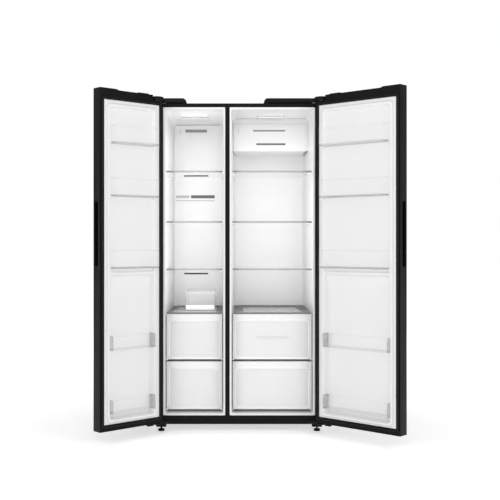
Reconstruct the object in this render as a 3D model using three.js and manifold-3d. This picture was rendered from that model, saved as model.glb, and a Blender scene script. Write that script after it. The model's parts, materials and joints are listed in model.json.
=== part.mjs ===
// Side by side refrigerator, with the freezer on the left and the fresh food side on the right.
// Millimetres, +Z up, the front faces -Y. Both doors stand open, drawers and shelves are pushed in.
import * as THREE from "three";
import { mergeVertices } from "three/addons/utils/BufferGeometryUtils.js";
import Module from "manifold-3d";

const wasm = await Module();
wasm.setup();

// Cabinet
const cabinetWidth = 908;
const cabinetDepth = 638;
const cabinetBase = 39; // underside of the cabinet above the floor
const cabinetTop = 1748;
const shellSheet = 1.2;
const frameSheet = 2;
const baseLip = 17; // front upstand of the steel floor
const foamRise = 20; // underside of the foam above the cabinet's underside
const fitGap = 0.4; // between pieces that are fixed against each other
const runGap = 2; // between a moving piece and what it passes

// Compartments: each opening holds a white liner whose lip shows inside the black front frame
const sideWall = 49.5;
const freezerOpening = 330;
const mullion = 24.5;
const openingBottom = 86;
const topStrip = 21;
const lip = 10;
const topLip = 13;
const linerSheet = 2.5;
const draft = 9; // each side wall comes in by this much at the back
const ceilingDrop = 13;
const freezerBackWall = 40;
const fridgeBackWall = 66;

// Machine compartment at the lower back
const machineDepth = 216;
const machineTop = 306;
const stepWall = 28; // insulation over and in front of the machine compartment

// Shelves and drawers
const frontSetback = 30; // from the cabinet's front plane to shelf and drawer fronts
const shelfLevels = [0.698, 0.448, 0.213]; // share of the clear height over the drawers
const shelfGlass = 5;
const shelfTrimHeight = 10;
const shelfTrimDepth = 12;
const shelfBackGap = 45;
const shelfSideGap = 5;
const coverBackGap = 5;
const shelfLedgeStart = 50;
const drawerLedgeStart = 45;
const ledgeReach = 12;
const ledgeHeight = 6;
const coverTop = 632;
const coverSheet = 6;
const lowerDrawer = { bottom: 112, top: 369 };
const upperDrawer = { bottom: 380, top: 624 };
const drawerWall = 3;
const drawerFront = 13;
const drawerSideGap = 5;
const drawerBackGap = { upper: 10, lower: 12 };
const tubDrop = 9; // tub rim below the top of the drawer front
const drawerGrip = { band: 38, depth: 8, sill: 12, post: 9 }; // fingers reach up behind the band

// Freezer fittings
const airPanelSheet = 6;
const airSpace = 48; // room for the evaporator behind the air panel
const airSlot = { widths: [128, 145, 141], height: 8, left: 15, belowTop: 34, overShelf: 13, underShelf: 42 };
const evaporator = { side: 31, overCover: 60, height: 270, pitch: 22, groove: 13.2, spine: 8 };
const iceBox = { width: 163, depth: 270, height: 105, fromLeft: 98, setback: 175, wall: 3 };
const iceLip = { reach: 8, height: 8, belowRim: 6 };
const fan = { radius: 48, hub: 16, depth: 20, blades: 7, aboveCover: 420, gap: 4 };
const fanBlade = { root: 12, sheet: 2.5, chord: 22, pitch: 55 };
const fanMotor = { radius: 22, gap: 1 };

// Fresh food side air duct under the ceiling
const ductHeight = 158;
const ductDrop = 35; // below the ceiling's front edge
const ductSetback = 288;
const ductWall = 3;
const ductSlot = { width: 181, height: 8, fromLeft: 120, belowTop: 42 };

// Ceiling lamps
const freezerLampLeft = 8; // lamp middles left of the compartment's middle
const fridgeLampLeft = 2;
const lamp = { width: 150, depth: 128, height: 5, setback: 158 };

// Doors
const doorThickness = 66;
const doorSkin = 2;
const doorGap = 5; // between the two doors when shut
const freezerDoorWidth = 388;
const frontGap = 10; // between a shut door and the cabinet's front plane
const doorBottom = 57;
const doorRise = 31; // door top above the cabinet top
const doorEndRise = 5.5; // the free end of the door top stands a little higher
const doorEndLength = 100;
const doorEndRamp = 15;
const doorCorner = 8;
const hingeInset = 18; // pivot from the door's side edge
const hingeSetback = 29; // pivot from the door's inner face
const doorOpenAngle = 138.5;
const hingePocket = { length: 62, drop: 29 };
const pinRadius = 6;
const pinLength = 20;
const pinClearance = 0.6;
const pinHoleSpare = 2;
const pinBossWall = 8;
const pinBossFloor = 4;
const gripPocket = { bottom: 889, height: 322, width: 30, depth: 20, fromInside: 20 };
const bottomStop = { from: 58, length: 34, width: 18, height: 9 };
const topCap = { from: 84, length: 64, width: 34, height: 5, fromInside: 8 };

// Door liner: a raised rib runs all round, and the door bins hang inside it
const linerHingeEdge = 23;
const linerFreeEdge = 25;
const linerTopEdge = 52.5;
const linerBottomEdge = 34.5;
const rib = { hinge: 42, free: 40, top: 18, bottom: 8, width: 17, height: 8 };
const upperRecess = 5;
const lowerRecess = 28;
const crossRib = { underBin: 31.5, height: 16 }; // below the lowest of the upper bins
const lug = { width: 5, height: 9, reach: 20 };

// Door bins
const binWall = 2.5;
const binGap = 3;
const upperBin = { height: 95, depth: 74, shares: [0.51, 0.72, 0] };
const lowerBin = { height: 74, depth: 51, floors: [460, 139] };
const shelfRise = 11; // a bin starts at least this far over a shelf

// Door gasket
const gasket = { inset: 14, free: 7, width: 9, height: 9, top: 42, bottom: 20 };

// Hinges
const upperPlate = { sheet: 4, reach: 70, radius: 22, outer: 14, inner: 46, neck: 3, lift: 1.5 };
const hingeCover = {
  height: 27, depth: 88, wall: 2.5, radius: 38, side: 1, neck: 8,
  left: 174, right: 322, slope: 18, shoulder: 9, toe: 5, toeHeight: 2, innerWall: 20,
};
const lowerPlate = { sheet: 5, width: 71, below: 6, radius: 22, side: 4, neck: 8 };
const pinShort = 3; // lower pin stops short of the bottom of its hole

// Feet and rollers
const foot = { fromSide: 38, setback: 20, radius: 17, height: 12, stem: 5, stemRise: 14 };
const roller = { fromSide: 46, fromBack: 36, radius: 18.5, width: 16, bore: 4.5 };
const axleRadius = 4;
const axleOverhang = 3;
const ear = { sheet: 2, reach: 14, under: 8 };

// Machine compartment contents
const compressor = { radius: 74, height: 178, fromSide: 190 };
const coil = { tube: 4, rows: 5, pitch: 42, fromSide: 70, length: 420, rise: 30, bend: 40, bulge: 24 };
const dripTray = { width: 190, depth: 150, height: 28, wall: 2, overCompressor: 18 };
const louvre = { count: 9, width: 34, height: 150, pitch: 62, left: 60, low: 10 };
const machineCoverRise = 4;
const inlet = {
  width: 46, height: 34, depth: 14, bore: 6, fromSide: 110, bottom: 232,
  flange: 3, border: 5, inside: 16, boreDepth: 8,
};

// Worked out from the sizes above
const halfWidth = cabinetWidth / 2;
const openingTop = cabinetTop - topStrip;
const freezerLeft = -halfWidth + sideWall;
const freezerRight = freezerLeft + freezerOpening;
const fridgeLeft = freezerRight + mullion;
const fridgeRight = halfWidth - sideWall;
const fridgeDoorWidth = cabinetWidth - freezerDoorWidth - doorGap;
const doorTop = cabinetTop + doorRise;
const stepHeight = machineTop + stepWall;
const stepDepth = cabinetDepth - machineDepth - stepWall;
const freezer = room(freezerLeft, freezerRight, freezerBackWall);
const fridge = room(fridgeLeft, fridgeRight, fridgeBackWall);
const airPanelFront = freezer.depth - airSpace - airPanelSheet;
const shelfHeights = shelfLevels.map((share) => coverTop + share * (freezer.ceiling - coverTop));
const binFloors = upperBinFloors();
const crossRibBottom = Math.min(...binFloors) - crossRib.underBin;

// One compartment's clear space, at its front edge
function room(left, right, backWall) {
  return {
    left: left + lip,
    right: right - lip,
    middle: (left + right) / 2,
    floor: openingBottom + lip,
    ceiling: openingTop - topLip,
    depth: cabinetDepth - backWall,
  };
}

// The three upper bins hang between shelf levels, so a shut door clears the shelves
function upperBinFloors() {
  const tops = [freezer.ceiling, ...shelfHeights];
  return upperBin.shares.map((share, i) => {
    const spare = tops[i] - shelfHeights[i] - upperBin.height - 2 * shelfRise;
    return shelfHeights[i] + shelfRise + share * spare;
  });
}

// Finishes
const finish = (color, roughness, metalness = 0) => ({ color, roughness, metalness });
const blackSteel = finish(0x2b2c2e, 0.42, 0.3);
const blackPlastic = finish(0x303133, 0.5);
const whiteLiner = finish(0xeef0f0, 0.35);
const clearPlastic = finish(0xe6eceb, 0.12);
const glassSheet = finish(0xcfd9d8, 0.08);
const greyTrim = finish(0xa7abad, 0.35);
const rubber = finish(0x232325, 0.8);
const steel = finish(0x9b9ea1, 0.4, 0.9);
const paleFoam = finish(0xe5dcae, 0.9);

const model = new THREE.Group();

function add(name, shape, look, parent = model) {
  const mesh = new THREE.Mesh(geometryOf(shape), new THREE.MeshStandardMaterial(look));
  mesh.name = name;
  parent.add(mesh);
  return mesh;
}

// A closed three.js geometry as a solid that can be joined and cut
function solid(geometry) {
  const bare = geometry.clone();
  bare.deleteAttribute("normal");
  bare.deleteAttribute("uv");
  const merged = mergeVertices(bare, 1e-4);
  return new wasm.Manifold(new wasm.Mesh({
    numProp: 3,
    vertProperties: new Float32Array(merged.attributes.position.array),
    triVerts: new Uint32Array(merged.index.array),
  }));
}

function geometryOf(shape) {
  const mesh = shape.getMesh();
  const geometry = new THREE.BufferGeometry();
  geometry.setAttribute("position", new THREE.BufferAttribute(mesh.vertProperties, 3));
  geometry.setIndex(new THREE.BufferAttribute(mesh.triVerts, 1));
  geometry.computeVertexNormals();
  return geometry;
}

const join = (first, ...more) => more.reduce((sum, next) => sum.add(next), first);
const cut = (first, ...more) => more.reduce((rest, next) => rest.subtract(next), first);

function boxGeometry([x0, x1], [y0, y1], [z0, z1]) {
  const box = new THREE.BoxGeometry(Math.abs(x1 - x0), Math.abs(y1 - y0), Math.abs(z1 - z0));
  return box.translate((x0 + x1) / 2, (y0 + y1) / 2, (z0 + z1) / 2);
}

const block = (x, y, z) => solid(boxGeometry(x, y, z));

// A block whose sides follow a compartment's drafted walls, and its top the ceiling if asked
function drafted(x, y, z, space, underCeiling = false) {
  const box = boxGeometry(x, y, z);
  const at = box.attributes.position;
  for (let i = 0; i < at.count; i += 1) {
    const share = at.getY(i) / space.depth;
    const inward = Math.sign(space.middle - at.getX(i));
    at.setX(i, at.getX(i) + inward * draft * share);
    if (underCeiling && at.getZ(i) > z[1] - 1) {
      at.setZ(i, at.getZ(i) - ceilingDrop * share);
    }
  }
  return solid(box);
}

// An outline extruded upwards
function upright(points, [z0, z1]) {
  const shape = new THREE.Shape(points.map(([x, y]) => new THREE.Vector2(x, y)));
  const body = new THREE.ExtrudeGeometry(shape, { depth: z1 - z0, bevelEnabled: false });
  return solid(body.translate(0, 0, z0));
}

// An outline in X and Z extruded front to back
function facing(points, [y0, y1]) {
  const shape = new THREE.Shape(points.map(([x, z]) => new THREE.Vector2(x, z)));
  const body = new THREE.ExtrudeGeometry(shape, { depth: y1 - y0, bevelEnabled: false });
  return solid(body.rotateX(Math.PI / 2).translate(0, y1, 0));
}

function rodUp(radius, x, y, [z0, z1], sides = 16) {
  const rod = new THREE.CylinderGeometry(radius, radius, z1 - z0, sides);
  return solid(rod.rotateX(Math.PI / 2).translate(x, y, (z0 + z1) / 2));
}

function rodAcross(radius, [x0, x1], y, z, sides = 16) {
  const rod = new THREE.CylinderGeometry(radius, radius, x1 - x0, sides);
  return solid(rod.rotateZ(Math.PI / 2).translate((x0 + x1) / 2, y, z));
}

function rodBack(radius, x, [y0, y1], z, sides = 16) {
  const rod = new THREE.CylinderGeometry(radius, radius, y1 - y0, sides);
  return solid(rod.translate(x, (y0 + y1) / 2, z));
}

// Points on an arc from one angle to another, in degrees
function arc(cx, cy, radius, from, to, steps = 6) {
  const points = [];
  for (let i = 0; i <= steps; i += 1) {
    const angle = THREE.MathUtils.degToRad(from + ((to - from) * i) / steps);
    points.push([cx + radius * Math.cos(angle), cy + radius * Math.sin(angle)]);
  }
  return points;
}

// The clear space of a compartment as a solid, grown outwards by a sheet or a gap
function clearSpace(space, grow, front) {
  const x = [space.left - grow, space.right + grow];
  const over = [stepHeight - grow, space.ceiling + grow];
  const under = [space.floor - grow, stepHeight + 1];
  return join(
    drafted(x, [front, space.depth + grow], over, space, true),
    drafted(x, [front, stepDepth + grow], under, space),
  );
}

// A bar along each side wall, which a shelf or drawer rests on
function ledges(space, top, [y0, y1], reach = ledgeReach) {
  const z = [top - ledgeHeight, top];
  const root = linerSheet / 2;
  return [
    drafted([space.left - root, space.left + reach], [y0, y1], z, space),
    drafted([space.right - reach, space.right + root], [y0, y1], z, space),
  ];
}

function makeLiner(name, space, lampMiddle) {
  const outer = clearSpace(space, linerSheet, 0);
  const flange = block(
    [space.left - lip, space.right + lip],
    [0, linerSheet],
    [openingBottom, openingTop],
  );
  const shelfBack = space.back - shelfBackGap;
  const ledgeRuns = [
    ...shelfHeights.map((level) => [level - shelfGlass / 2, shelfLedgeStart, shelfBack]),
    [coverTop - coverSheet, shelfLedgeStart, shelfBack],
    [upperDrawer.bottom, drawerLedgeStart, space.back - runGap],
    [lowerDrawer.bottom, drawerLedgeStart, stepDepth + 1],
  ];
  const bars = ledgeRuns.flatMap(([top, y0, y1]) => ledges(space, top - fitGap, [y0, y1]));
  const liner = join(cut(join(outer, flange), clearSpace(space, 0, -5)), ...bars);
  add(name, cut(liner, lampHole(space, lampMiddle)), whiteLiner);
}

// Ceiling height of a compartment at a distance from its front
const ceilingAt = (space, y) => space.ceiling - (ceilingDrop * y) / space.depth;

// The lamp's lens hangs under the ceiling and its foot goes through the liner
function lampBody(space, middle, grow) {
  const back = lamp.setback + lamp.depth;
  const low = ceilingAt(space, back) - lamp.height;
  const x = [middle - lamp.width / 2 - grow, middle + lamp.width / 2 + grow];
  return block(x, [lamp.setback - grow, back + grow], [low - grow, space.ceiling + grow]);
}

const lampHole = (space, middle) => lampBody(space, middle, fitGap);

function makeCabinetShell() {
  const inner = halfWidth - shellSheet;
  const y = [frameSheet + fitGap, cabinetDepth];
  const outside = block([-halfWidth, halfWidth], y, [cabinetBase, cabinetTop]);
  const inside = block([-inner, inner], [-1, cabinetDepth + 1], [0, cabinetTop - shellSheet]);
  add("cabinet_shell", cut(outside, inside), blackSteel);
}

function makeFrontFrame() {
  const plate = block([-halfWidth, halfWidth], [0, frameSheet], [cabinetBase, cabinetTop]);
  const holes = [[freezerLeft, freezerRight], [fridgeLeft, fridgeRight]].map(([x0, x1]) => block(
    [x0 - fitGap, x1 + fitGap],
    [-1, frameSheet + 1],
    [openingBottom - fitGap, openingTop + fitGap],
  ));
  add("front_frame", cut(plate, ...holes), blackPlastic);
}

function makeFoam() {
  const inner = halfWidth - shellSheet - fitGap;
  const front = linerSheet + fitGap;
  const back = cabinetDepth - shellSheet - 2 * fitGap;
  const base = cabinetBase + foamRise;
  const whole = block([-inner, inner], [front, back], [base, cabinetTop - shellSheet - fitGap]);
  const machine = block(
    [-halfWidth, halfWidth],
    [cabinetDepth - machineDepth - 2, cabinetDepth + 1],
    [0, machineTop + fitGap],
  );
  const spaces = [freezer, fridge].map((space) => clearSpace(space, linerSheet + fitGap, -1));
  const lamps = [lampHole(freezer, freezerLamp), lampHole(fridge, fridgeLamp)];
  add("insulation_foam", cut(whole, machine, ...spaces, ...lamps), paleFoam);
}

function makeBackPanel() {
  const inner = halfWidth - shellSheet - fitGap;
  const y = [cabinetDepth - shellSheet - fitGap, cabinetDepth - fitGap];
  const z = [machineTop + fitGap, cabinetTop - shellSheet - fitGap];
  add("back_panel", block([-inner, inner], y, z), steel);
}

// Steel floor of the cabinet, with the wall and roof of the machine compartment and roller ears
function makeBaseFrame() {
  const inner = halfWidth - shellSheet - fitGap;
  const sheet = frameSheet;
  const front = frameSheet + fitGap;
  const back = cabinetDepth - shellSheet - 2 * fitGap;
  const wall = cabinetDepth - machineDepth;
  const x = [-inner, inner];
  const parts = [
    block(x, [front, back], [cabinetBase + 1, cabinetBase + 1 + sheet]),
    block(x, [front, front + sheet], [cabinetBase + 1, cabinetBase + 1 + baseLip]),
    block(x, [wall, wall + sheet], [cabinetBase + 1, machineTop]),
    block(x, [wall, back], [machineTop - sheet, machineTop]),
  ];
  for (const side of [-1, 1]) {
    for (const edge of [-1, 1]) {
      const near = side * rollerX() + edge * (roller.width / 2 + runGap);
      const y = [rollerY() - ear.reach, rollerY() + ear.reach];
      const z = [roller.radius - ear.under, cabinetBase + 1 + sheet];
      parts.push(block([near, near + edge * ear.sheet], y, z));
    }
  }
  const bores = [-1, 1].map((side) => rodAcross(
    axleRadius + fitGap,
    [side * rollerX() - roller.width, side * rollerX() + roller.width],
    rollerY(),
    roller.radius,
  ));
  const screws = [-1, 1].map((side) => rodUp(foot.stem + fitGap, side * footX(), foot.setback, [0, 60]));
  add("base_frame", cut(join(...parts), ...bores, ...screws), steel);
}

function rollerX() {
  return halfWidth - roller.fromSide;
}

function rollerY() {
  return cabinetDepth - roller.fromBack;
}

function footX() {
  return halfWidth - foot.fromSide;
}

function makeRollers() {
  for (const [name, side] of [["left", -1], ["right", 1]]) {
    const x = side * rollerX();
    const half = roller.width / 2;
    const wheel = rodAcross(roller.radius, [x - half, x + half], rollerY(), roller.radius, 28);
    const bore = rodAcross(roller.bore, [x - half - 1, x + half + 1], rollerY(), roller.radius);
    add(`roller_${name}`, cut(wheel, bore), blackPlastic);
    const ends = half + runGap + ear.sheet + axleOverhang;
    add(
      `roller_axle_${name}`,
      rodAcross(axleRadius, [x - ends, x + ends], rollerY(), roller.radius),
      steel,
    );
  }
}

// Levelling feet: a wide pad on a screw that turns in the base frame
function makeFeet() {
  for (const [name, side] of [["left", -1], ["right", 1]]) {
    const x = side * footX();
    const pad = rodUp(foot.radius, x, foot.setback, [0, foot.height], 24);
    const stem = rodUp(foot.stem, x, foot.setback, [foot.height - 1, cabinetBase + foot.stemRise], 12);
    add(`foot_${name}`, join(pad, stem), blackPlastic);
  }
}

function makeShelf(name, space, level) {
  const x = [space.left + shelfSideGap, space.right - shelfSideGap];
  const back = space.back - shelfBackGap;
  const glass = [level - shelfGlass / 2, level + shelfGlass / 2];
  const trim = [level - shelfTrimHeight / 2, level + shelfTrimHeight / 2];
  const front = [frontSetback, frontSetback + shelfTrimDepth];
  add(
    name,
    join(
      drafted(x, [frontSetback, back], glass, space),
      drafted(x, front, trim, space),
      drafted(x, [back - shelfTrimDepth, back], [glass[0], trim[1]], space),
    ),
    glassSheet,
  );
}

// The fixed shelf that covers the drawers
function makeDrawerCover(name, space) {
  const x = [space.left + shelfSideGap, space.right - shelfSideGap];
  const y = [frontSetback - runGap, space.back - coverBackGap];
  add(name, drafted(x, y, [coverTop - coverSheet, coverTop], space), greyTrim);
}

function makeDrawer(name, space, size, back) {
  const x = [space.left + drawerSideGap, space.right - drawerSideGap];
  const hollow = [x[0] + drawerWall, x[1] - drawerWall];
  const front = frontSetback + drawerFront;
  const rim = size.top - tubDrop;
  const tub = drafted(x, [front - 1, back], [size.bottom, rim], space);
  const inside = drafted(
    hollow,
    [front, back - drawerWall],
    [size.bottom + drawerWall, rim + 1],
    space,
  );
  const panel = block(x, [frontSetback, front], [size.bottom, size.top]);
  const grip = block(
    [x[0] + drawerGrip.post, x[1] - drawerGrip.post],
    [frontSetback - 1, frontSetback + drawerGrip.depth],
    [size.bottom + drawerGrip.sill, size.top - drawerGrip.band],
  );
  add(name, cut(join(tub, panel), inside, grip), clearPlastic);
}

function makeIceBox() {
  const left = freezer.left + iceBox.fromLeft;
  const x = [left, left + iceBox.width];
  const y = [iceBox.setback, iceBox.setback + iceBox.depth];
  const z = [coverTop + fitGap, coverTop + iceBox.height];
  const { wall } = iceBox;
  const inside = block([x[0] + wall, x[1] - wall], [y[0] + wall, y[1] - wall], [z[0] + wall, z[1] + 1]);
  const lipTop = z[1] - iceLip.belowRim;
  const lipBar = block(x, [y[0] - iceLip.reach, y[0] + 1], [lipTop - iceLip.height, lipTop]);
  add("ice_box", cut(join(block(x, y, z), lipBar), inside), clearPlastic);
}

// Panel over the freezer's evaporator, with three air slots
function makeAirPanel() {
  const x = [freezer.left + 1, freezer.right - 1];
  const top = ceilingAt(freezer, freezer.depth) - 1;
  const y = [airPanelFront, airPanelFront + airPanelSheet];
  const panel = drafted(x, y, [stepHeight + runGap, top], freezer);
  const slotMiddle = freezer.middle - airSlot.left;
  const slots = [
    top - airSlot.belowTop,
    shelfHeights[0] + airSlot.overShelf,
    shelfHeights[2] - airSlot.underShelf,
  ].map((z, i) => block(
    [slotMiddle - airSlot.widths[i] / 2, slotMiddle + airSlot.widths[i] / 2],
    [y[0] - 1, y[1] + 1],
    [z - airSlot.height / 2, z + airSlot.height / 2],
  ));
  add("freezer_air_panel", cut(panel, ...slots), whiteLiner);
}

// Finned block behind the air panel
function makeEvaporator() {
  const y = [airPanelFront + airPanelSheet + runGap, freezer.depth - runGap];
  const x = [freezer.left + evaporator.side, freezer.right - evaporator.side];
  const z = [coverTop + evaporator.overCover, coverTop + evaporator.overCover + evaporator.height];
  const body = block(x, y, z);
  const { pitch, groove, spine } = evaporator;
  const grooves = [];
  for (let at = x[0] + pitch; at < x[1] - pitch / 2; at += pitch) {
    grooves.push(block([at, at + groove], [y[0] - 1, y[1] - spine], [z[0] - 1, z[1] + 1]));
  }
  add("evaporator", cut(body, ...grooves), steel);
}

function makeFan() {
  const z = coverTop + fan.aboveCover;
  const y0 = airPanelFront + airPanelSheet + fan.gap;
  const x = freezer.middle;
  const parts = [rodBack(fan.hub, x, [y0, y0 + fan.depth], z)];
  for (let i = 0; i < fan.blades; i += 1) {
    const blade = new THREE.BoxGeometry(fan.radius - fanBlade.root, fanBlade.sheet, fanBlade.chord);
    blade.rotateX(THREE.MathUtils.degToRad(fanBlade.pitch));
    blade.translate((fan.radius + fanBlade.root) / 2, 0, 0);
    blade.rotateY((i * 2 * Math.PI) / fan.blades).translate(x, y0 + fan.depth / 2, z);
    parts.push(solid(blade));
  }
  add("evaporator_fan", join(...parts), blackPlastic);
  const motor = [y0 + fan.depth + fanMotor.gap, freezer.depth - fitGap];
  add("fan_motor", rodBack(fanMotor.radius, x, motor, z), steel);
}

function makeAirDuct() {
  const x = [fridge.left + 1, fridge.right - lip];
  const y = [ductSetback, fridge.depth - fitGap];
  const top = fridge.ceiling - ductDrop;
  const z = [top - ductHeight, top];
  const wall = ductWall;
  const inside = drafted(
    [x[0] + wall, x[1] - wall],
    [y[0] + wall, y[1] + 1],
    [z[0] + wall, z[1] - wall],
    fridge,
  );
  const left = fridge.left + ductSlot.fromLeft;
  const slotTop = top - ductSlot.belowTop + ductSlot.height / 2;
  const slot = block(
    [left, left + ductSlot.width],
    [y[0] - 1, y[0] + wall + 1],
    [slotTop - ductSlot.height, slotTop],
  );
  add("fridge_air_duct", cut(drafted(x, y, z, fridge), inside, slot), whiteLiner);
}

// Shut, a door's width runs along X and its inner face looks back at the cabinet
function doorFrame(side) {
  const swing = new THREE.Group();
  swing.position.set(-side * (halfWidth - hingeInset), -(frontGap + hingeSetback), 0);
  swing.rotation.z = -side * THREE.MathUtils.degToRad(doorOpenAngle);
  model.add(swing);
  return swing;
}

// A block in a door: along the width from the hinge edge, out from the inner face, and up
function doorBlock(side, along, out, z) {
  const x = along.map((at) => side * (at - hingeInset));
  return block(x, [hingeSetback + out[0], hingeSetback + out[1]], z);
}

function doorPanel(side, width) {
  const back = hingeSetback;
  const face = hingeSetback - doorThickness;
  const r = doorCorner;
  const near = -hingeInset;
  const far = width - hingeInset;
  const plan = [
    [near, back],
    ...arc(near + r, face + r, r, 180, 270, 5),
    ...arc(far - r, face + r, r, 270, 360, 5),
    [far, back],
  ];
  const slab = upright(plan.map(([x, y]) => [side * x, y]), [doorBottom, doorTop + doorEndRise]);
  const endStart = width - doorEndLength;
  const lowered = facing([
    [-hingeInset - 1, doorTop],
    [endStart - doorEndRamp - hingeInset, doorTop],
    [endStart - hingeInset, doorTop + doorEndRise],
    [endStart - hingeInset, doorTop + doorEndRise + 1],
    [-hingeInset - 1, doorTop + doorEndRise + 1],
  ].map(([x, z]) => [side * x, z]), [face - 1, back + 1]);
  const pocket = doorBlock(
    side,
    [-1, hingePocket.length],
    [-doorThickness - 1, 1],
    [doorTop - hingePocket.drop, doorTop + doorEndRise + 1],
  );
  const grip = doorBlock(
    side,
    [width - gripPocket.depth, width + 1],
    [-gripPocket.fromInside - gripPocket.width, -gripPocket.fromInside],
    [gripPocket.bottom, gripPocket.bottom + gripPocket.height],
  );
  const cap = doorBlock(
    side,
    [topCap.from, topCap.from + topCap.length],
    [-topCap.fromInside - topCap.width, -topCap.fromInside],
    [doorTop - 1, doorTop + topCap.height],
  );
  const stop = doorBlock(
    side,
    [bottomStop.from, bottomStop.from + bottomStop.length],
    [-bottomStop.width, 0],
    [doorBottom - bottomStop.height, doorBottom + 1],
  );
  const hole = pinRadius + pinClearance;
  const holes = [
    rodUp(hole, 0, 0, [doorBottom - 1, doorBottom + pinLength]),
    rodUp(hole, 0, 0, [pocketFloor() - pinLength - pinHoleSpare, pocketFloor() + 1]),
  ];
  const shaped = join(cut(slab, lowered, pocket, grip), cap, stop);
  return cut(shaped, doorHollow(side, width), ...holes, doorLinerSpace(side, width, fitGap));
}

// The space behind a door's skin, which leaves a wall round each pocket and a boss at each pin
function doorHollow(side, width) {
  const deep = doorThickness - doorSkin;
  const pinBoss = pinRadius + pinBossWall;
  const boss = [hingeInset - pinBoss, hingeInset + pinBoss];
  const bossOut = [-hingeSetback - pinBoss, -hingeSetback + pinBoss];
  return cut(
    doorBlock(
      side,
      [doorSkin, width - doorSkin],
      [-deep, -doorSkin],
      [doorBottom + doorSkin, doorTop - doorSkin],
    ),
    doorBlock(
      side,
      [0, hingePocket.length + doorSkin],
      [-doorThickness, 0],
      [pocketFloor() - doorSkin, doorTop],
    ),
    doorBlock(side, boss, bossOut, [pocketFloor() - pinLength - pinHoleSpare - pinBossFloor, doorTop]),
    doorBlock(side, boss, bossOut, [doorBottom, doorBottom + pinLength + pinBossFloor]),
    doorBlock(
      side,
      [width - gripPocket.depth - doorSkin, width],
      [
        -gripPocket.fromInside - gripPocket.width - doorSkin,
        -gripPocket.fromInside + doorSkin,
      ],
      [gripPocket.bottom - doorSkin, gripPocket.bottom + gripPocket.height + doorSkin],
    ),
  );
}

function pocketFloor() {
  return doorTop - hingePocket.drop;
}

// Room inside the door liner's rib, from hinge side to free side
const binSpace = (width) => [rib.hinge + rib.width, width - rib.free - rib.width];

// What the liner takes up inside the door
function doorLinerSpace(side, width, grow) {
  const [u0, u1] = binSpace(width);
  const sheet = linerSheet + grow;
  const z = [doorBottom + linerBottomEdge - grow, doorTop - linerTopEdge + grow];
  const ribBottom = z[0] + grow + rib.bottom;
  return join(
    doorBlock(
      side,
      [linerHingeEdge - grow, width - linerFreeEdge + grow],
      [-upperRecess - sheet, 1],
      z,
    ),
    doorBlock(
      side,
      [u0 - sheet, u1 + sheet],
      [-lowerRecess - sheet, 1],
      [ribBottom + rib.width - sheet, crossRibBottom + sheet],
    ),
  );
}

function doorLiner(side, width) {
  const [u0, u1] = binSpace(width);
  const z0 = doorBottom + linerBottomEdge;
  const z1 = doorTop - linerTopEdge;
  const ribZ = [z0 + rib.bottom, z1 - rib.top];
  const back = cut(
    doorLinerSpace(side, width, 0),
    doorBlock(side, [0, width], [0, 2], [doorBottom, doorTop]),
  );
  const ribs = doorBlock(side, [rib.hinge, width - rib.free], [-1, rib.height], ribZ);
  const over = [crossRibBottom + crossRib.height, ribZ[1] - rib.width];
  const under = [ribZ[0] + rib.width, crossRibBottom];
  const upper = doorBlock(side, [u0, u1], [-upperRecess, rib.height + 1], over);
  const lower = doorBlock(side, [u0, u1], [-lowerRecess, rib.height + 1], under);
  const lugs = [...binFloors, ...lowerBin.floors].flatMap((floor) => {
    const depth = floor > crossRibBottom ? upperRecess : lowerRecess;
    const out = [-depth - 1, -depth + lug.reach - upperRecess];
    const z = [floor - fitGap - lug.height, floor - fitGap];
    return [
      doorBlock(side, [u0 - 1, u0 + lug.width], out, z),
      doorBlock(side, [u1 - lug.width, u1 + 1], out, z),
    ];
  });
  return join(cut(join(back, ribs), upper, lower), ...lugs);
}

function doorGasket(side, width) {
  const { inset, free, width: band, height, top, bottom } = gasket;
  const z = [doorBottom + bottom, doorTop - top];
  const along = [inset, width - free];
  const ring = doorBlock(side, along, [fitGap, height], z);
  const inner = doorBlock(
    side,
    [along[0] + band - fitGap, along[1] - band],
    [0, height + 1],
    [z[0] + band, z[1] - band],
  );
  return cut(ring, inner);
}

function doorBin(side, width, floor, size, recess) {
  const [u0, u1] = binSpace(width);
  const along = [u0 + binGap, u1 - binGap];
  const out = [-recess + fitGap, -recess + fitGap + size.depth];
  const tub = doorBlock(side, along, out, [floor, floor + size.height]);
  const inside = doorBlock(
    side,
    [along[0] + binWall, along[1] - binWall],
    [out[0] + binWall, out[1] - binWall],
    [floor + binWall, floor + size.height + 1],
  );
  return cut(tub, inside);
}

function makeDoor(name, side, width) {
  const swing = doorFrame(side);
  add(`${name}_door_panel`, doorPanel(side, width), blackSteel, swing);
  add(`${name}_door_liner`, doorLiner(side, width), whiteLiner, swing);
  add(`${name}_door_gasket`, doorGasket(side, width), rubber, swing);
  const bins = [
    ...binFloors.map((floor) => [floor, upperBin, upperRecess]),
    ...lowerBin.floors.map((floor) => [floor, lowerBin, lowerRecess]),
  ];
  bins.forEach(([floor, size, recess], i) => {
    const bin = doorBin(side, width, floor, size, recess);
    add(`${name}_door_bin_${i + 1}`, bin, clearPlastic, swing);
  });
}

// Plan of a hinge piece: a round nose about the pivot, and a foot that runs back over the cabinet
function hingePlan(side, radius, outer, inner, back, front) {
  const nose = arc(0, 0, radius, 180, 360, 12);
  const clipped = nose.map(([x, y]) => [Math.max(x, outer), y]);
  const plan = [...clipped, [radius, front], [inner, front], [inner, back], [outer, back]];
  return plan.map(([x, y]) => [side * x, y]);
}

function placed(shape, side) {
  return shape.translate(-side * (halfWidth - hingeInset), -(frontGap + hingeSetback), 0);
}

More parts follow.
